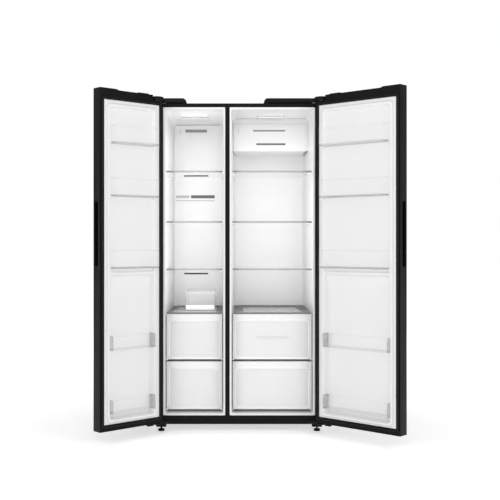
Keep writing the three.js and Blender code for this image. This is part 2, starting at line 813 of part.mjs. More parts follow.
function makeUpperHinge(name, side) {
  const front = frontGap + hingeSetback;
  const low = pocketFloor() + upperPlate.lift;
  const high = low + upperPlate.sheet;
  const { radius, outer, inner, reach, neck } = upperPlate;
  const arm = hingePlan(side, radius, -outer, inner, front + reach, front + neck);
  const base = upright(arm, [cabinetTop + fitGap, high]);
  const relief = block([-2 * inner, 2 * inner], [-2 * radius, front], [cabinetTop, low]);
  const pin = rodUp(pinRadius, 0, 0, [pocketFloor() - pinLength, high]);
  add(`upper_hinge_${name}`, placed(join(cut(base, relief), pin), side), steel);
}

// Plastic cover over the upper hinge, with its inner end sloping down to the cabinet top
function makeHingeCover(name, side, length) {
  const front = frontGap + hingeSetback;
  const { wall, radius, shoulder, toe, toeHeight } = hingeCover;
  const neck = front - hingeCover.neck;
  const outer = -hingeInset + hingeCover.side;
  const back = front + hingeCover.depth;
  const inner = outer + length;
  const innerWall = inner - hingeCover.innerWall;
  const z = [cabinetTop + fitGap, cabinetTop + hingeCover.height];
  const body = upright(hingePlan(side, radius, outer, inner, back, neck), z);
  const hollow = upright(
    hingePlan(side, radius - wall, outer + wall, innerWall, back - wall, neck + wall),
    [z[0] - 1, z[1] - wall],
  );
  const slope = facing([
    [inner - hingeCover.slope, z[1] + 1],
    [inner + 1, z[1] + 1],
    [inner + 1, z[0] + toeHeight],
    [inner, z[0] + toeHeight],
    [inner - toe, z[1] - shoulder],
  ].map(([x, h]) => [side * x, h]), [-2 * radius, back + 1]);
  const relief = block(
    [-2 * length, 2 * length],
    [-2 * radius, front],
    [z[0] - 1, pocketFloor() + upperPlate.lift],
  );
  add(`hinge_cover_${name}`, placed(cut(body, hollow, slope, relief), side), blackPlastic);
}

function makeLowerHinge(name, side) {
  const front = frontGap + hingeSetback;
  const top = doorBottom - lowerPlate.below;
  const z = [top - lowerPlate.sheet, top];
  const outer = -hingeInset + lowerPlate.side;
  const inner = outer + lowerPlate.width;
  const neck = front - lowerPlate.neck;
  const plan = hingePlan(side, lowerPlate.radius, outer, inner, front - fitGap, neck);
  const plate = upright(plan, z);
  const tabX = [side * outer, side * inner];
  const tabZ = [cabinetBase + 1, doorBottom - runGap];
  const tab = block(tabX, [front - lowerPlate.sheet, front - fitGap], tabZ);
  const pin = rodUp(pinRadius, 0, 0, [z[0], doorBottom + pinLength - pinShort]);
  add(`lower_hinge_${name}`, placed(join(plate, tab, pin), side), steel);
}

// Hermetic compressor: a domed can on the machine compartment's floor
function makeCompressor() {
  const { radius, height, fromSide } = compressor;
  const base = cabinetBase + 1 + frameSheet + fitGap;
  const profile = [
    [0, 0],
    [radius, 0],
    [radius, height * 0.6],
    [radius * 0.86, height * 0.85],
    [radius * 0.5, height * 0.97],
    [0, height],
  ].map(([r, z]) => new THREE.Vector2(r, z));
  const can = new THREE.LatheGeometry(profile, 24).rotateX(Math.PI / 2);
  const y = cabinetDepth - machineDepth / 2;
  add("compressor", solid(can.translate(halfWidth - fromSide, y, base)), blackSteel);
}

// Condenser: one tube that runs to and fro behind the machine compartment's wall
function makeCondenser() {
  const left = -halfWidth + coil.fromSide;
  const y = cabinetDepth - machineDepth / 2;
  const points = [];
  for (let row = 0; row < coil.rows; row += 1) {
    const z = cabinetBase + coil.rise + row * coil.pitch;
    const ends = row % 2 === 0 ? [left, left + coil.length] : [left + coil.length, left];
    const way = Math.sign(ends[1] - ends[0]);
    points.push(new THREE.Vector3(ends[0] + way * coil.bend, y, z));
    points.push(new THREE.Vector3((ends[0] + ends[1]) / 2, y, z));
    points.push(new THREE.Vector3(ends[1] - way * coil.bend, y, z));
    if (row < coil.rows - 1) {
      const turn = ends[1] - way * (coil.bend - coil.bulge);
      points.push(new THREE.Vector3(turn, y, z + coil.pitch / 2));
    }
  }
  const circle = arc(0, 0, coil.tube, 0, 315, 7).map(([x, v]) => new THREE.Vector2(x, v));
  const section = new THREE.Shape(circle);
  const route = new THREE.CatmullRomCurve3(points, false, "centripetal");
  const tube = new THREE.ExtrudeGeometry(section, { steps: 76, extrudePath: route });
  add("condenser_coil", solid(tube), steel);
}

// Meltwater tray over the compressor
function makeDripTray() {
  const x = halfWidth - compressor.fromSide;
  const y = cabinetDepth - machineDepth / 2;
  const bottom = cabinetBase + compressor.height + dripTray.overCompressor;
  const { width, depth, height, wall } = dripTray;
  const outside = block(
    [x - width / 2, x + width / 2],
    [y - depth / 2, y + depth / 2],
    [bottom, bottom + height],
  );
  const inside = block(
    [x - width / 2 + wall, x + width / 2 - wall],
    [y - depth / 2 + wall, y + depth / 2 - wall],
    [bottom + wall, bottom + height + 1],
  );
  add("drip_tray", cut(outside, inside), blackPlastic);
}

// Rear cover of the machine compartment, with upright air slots
function makeMachineCover() {
  const inner = halfWidth - shellSheet - fitGap;
  const y = [cabinetDepth - shellSheet - fitGap, cabinetDepth - fitGap];
  const z = [cabinetBase + machineCoverRise, machineTop - fitGap];
  const middle = (z[0] + z[1]) / 2 - louvre.low;
  const slots = [];
  for (let i = 0; i < louvre.count; i += 1) {
    const x = (i - (louvre.count - 1) / 2) * louvre.pitch - louvre.left;
    slots.push(block(
      [x - louvre.width / 2, x + louvre.width / 2],
      [y[0] - 1, y[1] + 1],
      [middle - louvre.height / 2, middle + louvre.height / 2],
    ));
  }
  const x = halfWidth - inlet.fromSide;
  const hole = block(
    [x - inlet.width / 2 + inlet.border, x + inlet.width / 2 - inlet.border],
    [y[0] - 1, y[1] + 1],
    [inlet.bottom + inlet.border, inlet.bottom + inlet.height - inlet.border],
  );
  add("machine_cover", cut(block([-inner, inner], y, z), ...slots, hole), steel);
}

// Gland where the mains lead enters
function makePowerInlet() {
  const x = halfWidth - inlet.fromSide;
  const plug = inlet.border + fitGap;
  const y = [cabinetDepth - fitGap * 0.5, cabinetDepth + inlet.depth];
  const flange = block(
    [x - inlet.width / 2, x + inlet.width / 2],
    [y[0], y[0] + inlet.flange],
    [inlet.bottom, inlet.bottom + inlet.height],
  );
  const body = block(
    [x - inlet.width / 2 + plug, x + inlet.width / 2 - plug],
    [cabinetDepth - inlet.inside, y[1]],
    [inlet.bottom + plug, inlet.bottom + inlet.height - plug],
  );
  const middle = inlet.bottom + inlet.height / 2;
  const bore = rodBack(inlet.bore, x, [cabinetDepth - inlet.boreDepth, y[1] + 1], middle);
  add("power_inlet", cut(join(flange, body), bore), blackPlastic);
}

const freezerLamp = freezer.middle - freezerLampLeft;
const fridgeLamp = fridge.middle - fridgeLampLeft;
freezer.back = airPanelFront - runGap;
fridge.back = fridge.depth - runGap;

makeCabinetShell();
makeBackPanel();
makeBaseFrame();
makeFrontFrame();
makeLiner("freezer_liner", freezer, freezerLamp);
makeLiner("fridge_liner", fridge, fridgeLamp);
makeFoam();
for (const [name, side, length] of [["left", 1, hingeCover.left], ["right", -1, hingeCover.right]]) {
  makeUpperHinge(name, side);
  makeHingeCover(name, side, length);
  makeLowerHinge(name, side);
}
makeFeet();
makeRollers();
makeCompressor();
makeCondenser();
makeDripTray();
makeMachineCover();
makePowerInlet();
makeEvaporator();
makeFan();
makeAirPanel();
makeAirDuct();
add("freezer_lamp", lampBody(freezer, freezerLamp, 0), clearPlastic);
add("fridge_lamp", lampBody(fridge, fridgeLamp, 0), clearPlastic);
for (const [name, space] of [["freezer", freezer], ["fridge", fridge]]) {
  shelfHeights.forEach((level, i) => makeShelf(`${name}_shelf_${i + 1}`, space, level));
  makeDrawerCover(`${name}_drawer_cover`, space);
  makeDrawer(`${name}_drawer_upper`, space, upperDrawer, space.back - drawerBackGap.upper);
  makeDrawer(`${name}_drawer_lower`, space, lowerDrawer, stepDepth - drawerBackGap.lower);
}
makeIceBox();
makeDoor("freezer", 1, freezerDoorWidth);
makeDoor("fridge", -1, fridgeDoorWidth);

// The origin is on the floor under the middle of the open refrigerator
model.updateMatrixWorld(true);
const bounds = new THREE.Box3().setFromObject(model, true);
model.position.x = -(bounds.min.x + bounds.max.x) / 2;
model.position.y = -(bounds.min.y + bounds.max.y) / 2;

export default model;
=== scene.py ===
import json
import math

import bmesh
import bpy
from mathutils import Matrix, Vector


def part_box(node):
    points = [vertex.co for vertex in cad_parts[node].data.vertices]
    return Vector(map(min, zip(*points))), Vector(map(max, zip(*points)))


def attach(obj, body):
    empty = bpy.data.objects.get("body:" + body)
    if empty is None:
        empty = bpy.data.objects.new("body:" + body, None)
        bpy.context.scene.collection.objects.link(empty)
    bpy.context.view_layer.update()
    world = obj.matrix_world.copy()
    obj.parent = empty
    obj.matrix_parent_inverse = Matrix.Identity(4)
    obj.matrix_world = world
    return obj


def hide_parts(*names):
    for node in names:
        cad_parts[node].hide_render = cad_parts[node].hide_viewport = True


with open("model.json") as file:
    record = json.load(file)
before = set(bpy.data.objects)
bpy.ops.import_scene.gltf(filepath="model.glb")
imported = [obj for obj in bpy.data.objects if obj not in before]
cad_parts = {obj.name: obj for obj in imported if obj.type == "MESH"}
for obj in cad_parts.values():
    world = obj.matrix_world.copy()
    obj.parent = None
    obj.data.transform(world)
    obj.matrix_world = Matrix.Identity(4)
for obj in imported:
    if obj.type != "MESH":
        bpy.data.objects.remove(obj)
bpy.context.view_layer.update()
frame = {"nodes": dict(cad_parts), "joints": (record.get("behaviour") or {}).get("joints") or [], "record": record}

scene = bpy.context.scene
record = frame["record"]
SLOT_OF = {part["node"]: part["material_slot"] for part in record["subparts"]}
BODY_OF = {node: body for body, nodes in record["behaviour"]["bodies"].items() for node in nodes}
ROOMS = ("freezer", "fridge")

# Liners. The walls draw in by DRAFT and the ceiling drops by CEILING_DROP over the whole depth.
LIP = 0.010
TOP_LIP = 0.013
LIP_ROLL = 0.004
LINER_SHEET = 0.0025
DRAFT = 0.009
CEILING_DROP = 0.013
STEP_TOP = 0.334
STEP_DEPTH = 0.394
STEP_EDGE = 0.02
MOUTH_RADIUS = 0.005
CORNER_RADIUS = 0.022
BACK_RADIUS = 0.024
LEDGE = {"reach": 0.012, "height": 0.006, "edge": 0.0018}

# Door liner, measured from its own edges
RIB = {"hinge": 0.019, "free": 0.015, "top": 0.018, "bottom": 0.008, "width": 0.017, "height": 0.008}
CROSS_RIB = {"below_bin": 0.0315, "height": 0.016}
UPPER_RECESS = 0.005
LOWER_RECESS = 0.028

# The lower pocket starts shallower by this share under the cross rib, and deepens over this height
UNDER_RIB = 0.55
POCKET_SLOPE = 0.075

# Plastic and glass pieces
BIN_WALL = 0.0025
BIN_CORNER = 0.014
BIN_FOOT = 0.010
DRAWER_FRONT = 0.013
DRAWER_WALL = 0.003
DRAWER_WINDOW = {"post": 0.016, "sill": 0.015, "band": 0.040, "depth": 0.007}
SHELF_TRIM = {"height": 0.010, "depth": 0.012, "side": 0.007}
GLASS_SHEET = 0.004

# Edges sharper than this many degrees stay sharp
SMOOTH_ANGLE = 38

# Light: the sky, and a soft light in each compartment's mouth, over and under the drawer cover
SKY_LIGHT = 0.48
FILL = {"lower": 0.55, "margin": 0.03, "gap": 0.01, "behind_mouth": 0.004}
UPPER_FILL = {"freezer": 1.75, "fridge": 1.38}
FILL_BELOW_CEILING = {"freezer": 0.06, "fridge": 0.17}


# ---------------------------------------------------------------- shapes

def rounded_rect(a0, a1, b0, b1, radius, steps=5):
    """Outline of a rounded rectangle, counterclockwise."""
    corners = (
        (a0 + radius, b0 + radius, 180),
        (a1 - radius, b0 + radius, 270),
        (a1 - radius, b1 - radius, 0),
        (a0 + radius, b1 - radius, 90),
    )
    points = []
    for a, b, start in corners:
        for step in range(steps + 1):
            angle = math.radians(start + 90 * step / steps)
            points.append((a + radius * math.cos(angle), b + radius * math.sin(angle)))
    return points


def inset_ring(low, high, inset, z, radius):
    """A level rounded rectangle, drawn in from the two corners of a box."""
    outline = rounded_rect(low.x + inset, high.x - inset, low.y + inset, high.y - inset, radius)
    return [(x, y, z) for x, y in outline]


def tub_rings(low, high, wall, corner, foot, rim):
    """Rings of an open tub, up its outside and down its inside. rim is (inset, drop) from its top."""
    rings = [inset_ring(low, high, inset, low.z + rise, corner) for inset, rise in quarter(foot)]
    rings += [inset_ring(low, high, inset, high.z - drop, corner) for inset, drop in rim]
    for inset, rise in reversed(quarter(foot)):
        rings.append(inset_ring(low, high, wall + inset, low.z + wall + rise, corner))
    return rings


def quarter(radius, steps=4):
    """Inset and rise of a rounded edge, from its foot to its full width."""
    turns = [math.pi / 2 * step / steps for step in range(steps + 1)]
    return [(radius * (1 - math.sin(turn)), radius * (1 - math.cos(turn))) for turn in turns]


def loft(mesh, rings, closed=False, slots=None):
    """Skins a row of rings. An open row is capped at both ends."""
    rows = [[mesh.verts.new(point) for point in ring] for ring in rings]
    spans = list(zip(rows, rows[1:]))
    if closed:
        spans.append((rows[-1], rows[0]))
    for k, (near, far) in enumerate(spans):
        for i in range(len(near)):
            j = (i + 1) % len(near)
            face = mesh.faces.new((near[i], near[j], far[j], far[i]))
            face.material_index = slots[k] if slots else 0
    if not closed:
        for row, k in ((rows[0], 0), (rows[-1], -1)):
            mesh.faces.new(row).material_index = slots[k] if slots else 0


def rounded_box(mesh, low, high, radius, segments=3):
    """A block with every edge rounded."""
    low, high = Vector(low), Vector(high)
    part = bmesh.new()
    bmesh.ops.create_cube(part, size=1)
    for vert in part.verts:
        vert.co = low + Vector((c + 0.5) * s for c, s in zip(vert.co, high - low))
    bmesh.ops.bevel(
        part, geom=part.edges[:], offset=radius, segments=segments, profile=0.5, affect="EDGES",
        clamp_overlap=True,
    )
    merge(mesh, part)


def merge(mesh, part):
    """Adds one mesh under construction to another."""
    data = bpy.data.meshes.new("part")
    part.to_mesh(data)
    part.free()
    mesh.from_mesh(data)
    bpy.data.meshes.remove(data)


def turned(mesh, centre, profile, axis="Z", sides=48, flutes=0, flute_depth=0.0, closed=False):
    """A lathe shape about an axis: (radius, height) points. Flutes ripple its outer surface."""
    widest = max(radius for radius, _ in profile)
    rings = []
    for radius, height in profile:
        ring = []
        for i in range(sides):
            angle = 2 * math.pi * i / sides
            wave = flute_depth * math.cos(flutes * angle) if radius > widest * 0.93 else 0
            a, b = (radius + wave) * math.cos(angle), (radius + wave) * math.sin(angle)
            place = {"Z": (a, b, height), "X": (height, a, b)}[axis]
            ring.append(Vector(centre) + Vector(place))
        rings.append(ring)
    loft(mesh, rings, closed)


def grid_lines(low, high, edges, fine=0.002, reach=0.008, coarse=0.05):
    """Places from low to high that crowd together near each edge."""
    count = round(reach / fine)
    near = {round(edge + step * fine, 6) for edge in edges for step in range(-count, count + 1)}
    marks = [low, *sorted(mark for mark in near if low + fine / 2 < mark < high - fine / 2), high]
    places = [low]
    for start, end in zip(marks, marks[1:]):
        if end - start < fine / 2:
            continue
        cells = max(1, math.ceil((end - start) / coarse))
        places += [start + (end - start) * i / cells for i in range(1, cells + 1)]
    return places


def ease(distance, width):
    """1 inside an edge and 0 outside it, turning smoothly over the width."""
    share = min(1.0, max(0.0, 0.5 - distance / width))
    return share * share * (3 - 2 * share)


def outside_of(a, b, rect, radius):
    """How far a point lies outside a rounded rectangle, negative inside it."""
    a0, a1, b0, b1 = rect
    over_a = abs(a - (a0 + a1) / 2) - (a1 - a0) / 2 + radius
    over_b = abs(b - (b0 + b1) / 2) - (b1 - b0) / 2 + radius
    return math.hypot(max(over_a, 0), max(over_b, 0)) + min(max(over_a, over_b), 0) - radius


def relief(mesh, across, up, face, back, slot=lambda a, b: 0):
    """A closed plate over a grid in X and Z, whose two sides lie at Y = face(a, b) and back(a, b)."""
    sides = [
        [[mesh.verts.new((a, side(a, b), b)) for b in up] for a in across] for side in (face, back)
    ]
    last_a, last_b = len(across) - 1, len(up) - 1
    for rows in sides:
        for i in range(last_a):
            for j in range(last_b):
                quad = mesh.faces.new(
                    (rows[i][j], rows[i + 1][j], rows[i + 1][j + 1], rows[i][j + 1])
                )
                middle = ((across[i] + across[i + 1]) / 2, (up[j] + up[j + 1]) / 2)
                quad.material_index = slot(*middle)
    rim = [(i, 0) for i in range(last_a)] + [(last_a, j) for j in range(last_b)]
    rim += [(i, last_b) for i in range(last_a, 0, -1)] + [(0, j) for j in range(last_b, 0, -1)]
    front, rear = sides
    for (i, j), (m, n) in zip(rim, rim[1:] + rim[:1]):
        mesh.faces.new((front[i][j], front[m][n], rear[m][n], rear[i][j]))


def piece(name, mesh, looks, body, replaces=(), slot=None, at=None, smooth=SMOOTH_ANGLE):
    """Makes an object of a finished mesh and lets it ride on a body."""
    if at is not None:
        mesh.transform(at)
    bmesh.ops.recalc_face_normals(mesh, faces=mesh.faces[:])
    data = bpy.data.meshes.new(name)
    mesh.to_mesh(data)
    mesh.free()
    data.shade_smooth()
    data.set_sharp_from_angle(angle=math.radians(smooth))
    obj = bpy.data.objects.new(name, data)
    scene.collection.objects.link(obj)
    for look in looks:
        data.materials.append(look)
    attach(obj, body)
    if replaces:
        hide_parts(*replaces)
    slot = slot or (SLOT_OF[replaces[0]] if replaces else None)
    return obj


def softened(node, look, width=0.0012, segments=2, rounds=(), smooth=SMOOTH_ANGLE):
    """The CAD node's own shape with rounded edges. Each round is (which edges, radius)."""
    mesh = bmesh.new()
    mesh.from_mesh(frame["nodes"][node].data)
    bmesh.ops.remove_doubles(mesh, verts=mesh.verts[:], dist=1e-5)
    bmesh.ops.dissolve_limit(
        mesh, angle_limit=math.radians(0.5), verts=mesh.verts[:], edges=mesh.edges[:]
    )
    for chosen, radius in rounds:
        edges = [edge for edge in mesh.edges if chosen(*(vert.co for vert in edge.verts))]
        bmesh.ops.bevel(
            mesh, geom=edges, offset=radius, segments=5, profile=0.5, affect="EDGES",
            clamp_overlap=False,
        )
    obj = piece(f"{node}_shaped", mesh, [look], BODY_OF[node], (node,), smooth=smooth)
    if width:
        edge = obj.modifiers.new("edges", "BEVEL")
        edge.width, edge.segments = width, segments
        edge.limit_method, edge.angle_limit = "ANGLE", math.radians(35)
        edge.harden_normals = True


def blocks(
    name, look, boxes, radius, slot=None, body="cabinet", replaces=(), segments=3, lean=None, at=None,
):
    """Moulded blocks with rounded edges, made as one piece. lean is (room, depth of its width)."""
    mesh = bmesh.new()
    for low, high in boxes:
        rounded_box(mesh, low, high, radius, segments)
    if lean:
        lean[0].follow_walls(mesh, lean[1])
    piece(name, mesh, [LOOK[look]], body, replaces, slot, at)


def screws(name, places, facing, radius=0.004):
    """Pan head screws of the cabinet with a cross recess, one group of separate heads."""
    mesh = bmesh.new()
    turn = Vector((0, 0, 1)).rotation_difference(Vector(facing)).to_matrix().to_4x4()
    outline = ((1.0, -0.1), (1.0, 0.12), (0.9, 0.34), (0.62, 0.5), (0.5, 0.52), (0.42, 0.1))
    for place in places:
        rings = []
        for k, (share, height) in enumerate(outline):
            ring = []
            for i in range(24):
                angle = 2 * math.pi * i / 24
                star = 0.62 + 0.38 * abs(math.cos(2 * angle)) ** 3 if k >= 4 else 1
                reach = radius * share * star
                point = (reach * math.cos(angle), reach * math.sin(angle), radius * height)
                ring.append(Vector(place) + turn @ Vector(point))
            rings.append(ring)
        loft(mesh, rings)
    piece(name, mesh, [LOOK["screw"]], "cabinet", slot="zinc_steel", smooth=30)


# ---------------------------------------------------------------- materials

def node_input(tree, node, name, value):
    """Sets a socket, or links it where the value is another socket."""
    if isinstance(value, bpy.types.NodeSocket):
        tree.links.new(value, node.inputs[name])
    else:
        node.inputs[name].default_value = value


def noise(tree, coords, scale, detail=4.0, stretch=(1, 1, 1)):
    mapping = tree.nodes.new("ShaderNodeMapping")
    mapping.inputs["Scale"].default_value = stretch
    tree.links.new(coords, mapping.inputs["Vector"])
    node = tree.nodes.new("ShaderNodeTexNoise")
    tree.links.new(mapping.outputs["Vector"], node.inputs["Vector"])
    node.inputs["Scale"].default_value = scale
    node.inputs["Detail"].default_value = detail
    return node.outputs["Fac"]


def between(tree, factor, low, high, start=0.3, end=0.7):
    node = tree.nodes.new("ShaderNodeMapRange")
    tree.links.new(factor, node.inputs["Value"])
    for socket, value in (("From Min", start), ("From Max", end), ("To Min", low), ("To Max", high)):
        node.inputs[socket].default_value = value
    return node.outputs["Result"]


def rgba(shade):
    """A colour, from a grey level or from its three parts."""
    return (*shade, 1) if isinstance(shade, tuple) else (shade, shade, shade, 1)


def surface(name, shades, roughness, grain, cloud=9.0, stretch=(1, 1, 1), **sockets):
    """A moulded, painted or metal surface: clouded colour and roughness, and a fine grain.

    shades are the darker and lighter colour, roughness its range, grain (scale, strength)."""
    look = bpy.data.materials.new(name)
    look.use_nodes = True
    tree = look.node_tree
    shader = tree.nodes["Principled BSDF"]
    coords = tree.nodes.new("ShaderNodeTexCoord").outputs["Object"]
    mix = tree.nodes.new("ShaderNodeMix")
    mix.data_type = "RGBA"
    tree.links.new(noise(tree, coords, cloud * 3, 6, stretch), mix.inputs["Factor"])
    for socket, shade in zip(("A", "B"), shades):
        target = [s for s in mix.inputs if s.name == socket and s.type == "RGBA"][0]
        target.default_value = rgba(shade)
    colour = [s for s in mix.outputs if s.type == "RGBA"][0]
    node_input(tree, shader, "Base Color", colour)
    smear = between(tree, noise(tree, coords, cloud, 3, stretch), *roughness)
    node_input(tree, shader, "Roughness", smear)
    bump = tree.nodes.new("ShaderNodeBump")
    bump.inputs["Strength"].default_value = grain[1]
    bump.inputs["Distance"].default_value = 0.0003
    tree.links.new(noise(tree, coords, grain[0], 3, stretch), bump.inputs["Height"])
    node_input(tree, shader, "Normal", bump.outputs["Normal"])
    for socket, value in sockets.items():
        node_input(tree, shader, socket.replace("_", " "), value)
    return look


def see_through(name, shades, cover, roughness):
    """Clear or frosted plastic and glass. cover is how much it hides, face on and edge on."""
    look = surface(name, shades, roughness, (700, 0.05))
    tree = look.node_tree
    shader = tree.nodes["Principled BSDF"]
    output = tree.nodes["Material Output"]
    clear = tree.nodes.new("ShaderNodeBsdfTransparent")
    facing = tree.nodes.new("ShaderNodeLayerWeight")
    facing.inputs["Blend"].default_value = 0.35
    share = between(tree, facing.outputs["Facing"], *cover, 0, 1)
    mix = tree.nodes.new("ShaderNodeMixShader")
    tree.links.new(share, mix.inputs["Fac"])
    tree.links.new(clear.outputs["BSDF"], mix.inputs[1])
    tree.links.new(shader.outputs["BSDF"], mix.inputs[2])
    tree.links.new(mix.outputs["Shader"], output.inputs["Surface"])
    return look


def make_looks():
    """Every material by its short name."""
    dull, dim = {"Specular_IOR_Level": 0.22}, {"Specular_IOR_Level": 0.12}
    metal = {"Metallic": 1.0}
    gloss = {"cloud": 4.0, "Coat_Weight": 0.12, "Coat_Roughness": 0.12}
    liner_gloss = {"cloud": 1.5, "Coat_Weight": 0.1, "Coat_Roughness": 0.15}
    glow = {"Emission_Color": (1, 1, 1, 1), "Emission_Strength": 0.12}
    foam = (0.75, 0.66, 0.42), (0.85, 0.76, 0.5)
    zinc = (0.4284, 0.42, 0.4116), (0.5858, 0.58, 0.5742)
    # shades, roughness range, grain, and what else the surface has
    solid = {
        "door": ("black_door_paint", (0.0035, 0.0055), (0.36, 0.46), (1600, 0.10), dim),
        "shell": ("black_cabinet_paint", (0.005, 0.008), (0.4, 0.52), (1100, 0.2), dim),
        "frame": ("black_frame_plastic", (0.004, 0.006), (0.5, 0.6), (900, 0.15), dim),
        "plastic": ("black_moulded_plastic", (0.004, 0.007), (0.36, 0.5), (700, 0.3), dim),
        "rubber": ("gasket_rubber", (0.006, 0.009), (0.6, 0.75), (500, 0.25), dull),
        "liner": ("white_liner_plastic", (0.832, 0.84), (0.285, 0.3), (160, 0.02), liner_gloss),
        "panel": ("white_panel_plastic", (0.845, 0.86), (0.22, 0.26), (220, 0.03), gloss),
        "duct_box": ("air_duct_plastic", (0.77, 0.78), (0.22, 0.26), (220, 0.03), gloss),
        "trim": ("shelf_trim_grey", (0.17, 0.21), (0.24, 0.34), (800, 0.08), {}),
        "cover_frame": ("drawer_cover_frame", (0.15, 0.19), (0.5, 0.6), (800, 0.1), dull),
        "lens": ("lamp_lens", (0.86, 0.9), (0.2, 0.3), (300, 0.1), glow),
        # painted shade: a grey, unglowing copy of the lamp lens for its dim bands
        "lens_edge": ("lamp_lens_edge", (0.52, 0.56), (0.2, 0.3), (300, 0.1), {}),
        "vent": ("vent_grey", (0.34, 0.39), (0.4, 0.5), (600, 0.1), {}),
        # painted shade: the near-black sheet behind the freezer panel's slots stands in for the shade inside them
        "duct": ("dark_duct", (0.002, 0.003), (0.6, 0.7), (500, 0.2), dim),
        "mark": ("printed_grey", (0.10, 0.13), (0.4, 0.5), (600, 0.1), {}),
        "faint": ("moulded_mark", (0.48, 0.54), (0.4, 0.5), (600, 0.1), {}),
        "zinc": ("zinc_plated_steel", zinc, (0.28, 0.42), (700, 0.12), {"cloud": 22.0, **metal}),
        "galvanised": (
            "galvanised_sheet", (0.4, 0.56), (0.34, 0.5), (140, 0.1), {"cloud": 40.0, **metal},
        ),
        "screw": ("screw_steel", (0.3, 0.4), (0.25, 0.35), (900, 0.1), metal),
        "fins": (
            "aluminium_fins", (0.66, 0.76), (0.25, 0.35), (900, 0.15),
            {"stretch": (1, 1, 0.03), **metal},
        ),
        "enamel": ("black_enamel", (0.006, 0.012), (0.15, 0.28), (300, 0.1), dull),
        "foam": ("insulation_foam", foam, (0.8, 0.9), (350, 0.8), {}),
    }
    # shades, cover, roughness range
    clear = {
        "clear": ("clear_bin_plastic", (0.93, 0.95), (0.003, 0.05), (0.06, 0.14)),
        # painted shade: grey copies of the clear plastic for the bins' rounded foot, a lighter one for the lower
        # two bins
        "clear_foot_painted_shade": ("clear_bin_foot", (0.22, 0.27), (0.2, 0.6), (0.06, 0.14)),
        "clear_lip": ("clear_bin_lip", (0.6, 0.65), (0.01, 0.14), (0.06, 0.14)),
        "pale_foot_painted_shade": ("clear_bin_pale_foot", (0.42, 0.48), (0.10, 0.36), (0.06, 0.14)),
        "bracket": ("grey_bin_bracket", (0.42, 0.48), (0.2, 0.5), (0.3, 0.4)),
        "frosted": ("frosted_drawer_tub", (0.87, 0.90), (0.3, 0.65), (0.2, 0.32)),
        "window": ("drawer_window", (0.88, 0.91), (0.36, 0.78), (0.12, 0.22)),
        "drawer": ("drawer_front_plastic", (0.86, 0.89), (0.5, 0.85), (0.14, 0.24)),
        "ice": ("ice_box_plastic", (0.84, 0.88), (0.10, 0.34), (0.12, 0.2)),
        "glass": ("shelf_glass", (0.76, 0.8), (0.02, 0.07), (0.03, 0.07)),
        "cover_glass": ("drawer_cover_glass", (0.52, 0.58), (0.4, 0.75), (0.05, 0.1)),
    }
    looks = {key: surface(*basics, **more) for key, (*basics, more) in solid.items()}
    looks.update({key: see_through(*basics) for key, basics in clear.items()})
    return looks


# ---------------------------------------------------------------- places taken from the frame

class Room:
    """One compartment's clear space, whose walls draw in towards the back."""

    def __init__(self, name):
        low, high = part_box(f"{name}_liner")
        self.name = name
        self.mouth = (low.x, high.x, low.z, high.z)
        self.front = low.y
        self.depth = high.y - LINER_SHEET - low.y
        self.left, self.right = low.x + LIP, high.x - LIP
        self.floor, self.ceiling = low.z + LIP, high.z - TOP_LIP
        self.middle = (low.x + high.x) / 2

    def drawn_in(self, y):
        return DRAFT * (y - self.front) / self.depth

    def section(self, y, grow=0.0, radius=MOUTH_RADIUS):
        """The clear space's outline at a depth, grown outwards."""
        inward = self.drawn_in(y)
        drop = CEILING_DROP * (y - self.front) / self.depth
        outline = rounded_rect(
            self.left + inward - grow, self.right - inward + grow,
            self.floor - grow, self.ceiling - drop + grow, radius,
        )
        return [(x, y, z) for x, z in outline]

    def follow_walls(self, mesh, y0=None):
        """Leans a square mesh like the walls, from the depth y0 (the mouth) where its width is true."""
        start = self.drawn_in(self.front if y0 is None else y0)
        for vert in mesh.verts:
            inward = self.drawn_in(vert.co.y) - start
            vert.co.x += inward if vert.co.x < self.middle else -inward


def local_box(node, to_local):
    """A CAD node's lowest and highest corner in another frame."""
    points = [to_local @ vert.co for vert in frame["nodes"][node].data.vertices]
    low = Vector(min(point[i] for point in points) for i in range(3))
    high = Vector(max(point[i] for point in points) for i in range(3))
    return low, high


def door_frame(room):
    """The door's own frame: X from the hinge edge, Y out of its inner face, Z up."""
    joint = next(j for j in frame["joints"] if j["name"] == f"door_{room}")
    side = joint["axis"][2]
    turn = Matrix.Rotation(-side * math.radians(joint["range_deg"][1]), 3, "Z")
    columns = (turn @ Vector((side, 0, 0)), turn @ Vector((0, 1, 0)), Vector((0, 0, 1)))
    axes = Matrix(columns).transposed().to_4x4()
    axes.translation = (joint["pos_m"][0], joint["pos_m"][1], 0)
    low, high = local_box(f"{room}_door_panel", axes.inverted())
    axes.translation = axes @ Vector((low.x, high.y, 0))
    return axes


# ---------------------------------------------------------------- cabinet

def cabinet_shell():
    """Folded steel sheet: both sides and the top, with rounded upper corners and a rear flange."""
    low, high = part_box("cabinet_shell")
    sheet, corner, flange, flange_foot = 0.0012, 0.005, 0.012, 0.3
    flange_sheet = 0.0008

    def outline(grow):
        top = rounded_rect(low.x + grow, high.x - grow, low.z, high.z - grow, corner - grow)
        return [point for point in top if point[1] > low.z + corner]

    outer, inner = outline(0.0), outline(sheet)
    feet = [(high.x, low.z), (low.x, low.z)], [(high.x - sheet, low.z), (low.x + sheet, low.z)]
    path = [feet[0][0], *outer, feet[0][1], feet[1][1], *reversed(inner), feet[1][0]]
    mesh = bmesh.new()
    loft(mesh, [[(x, y, z) for x, z in path] for y in (low.y, high.y)])
    for x0, x1 in ((low.x + sheet, low.x + flange), (high.x - flange, high.x - sheet)):
        start = x0, high.y - flange_sheet, low.z + flange_foot
        rounded_box(mesh, start, (x1, high.y, high.z - sheet), 0.0003)
    piece("cabinet_shell_sheet", mesh, [LOOK["shell"]], "cabinet", ("cabinet_shell",))


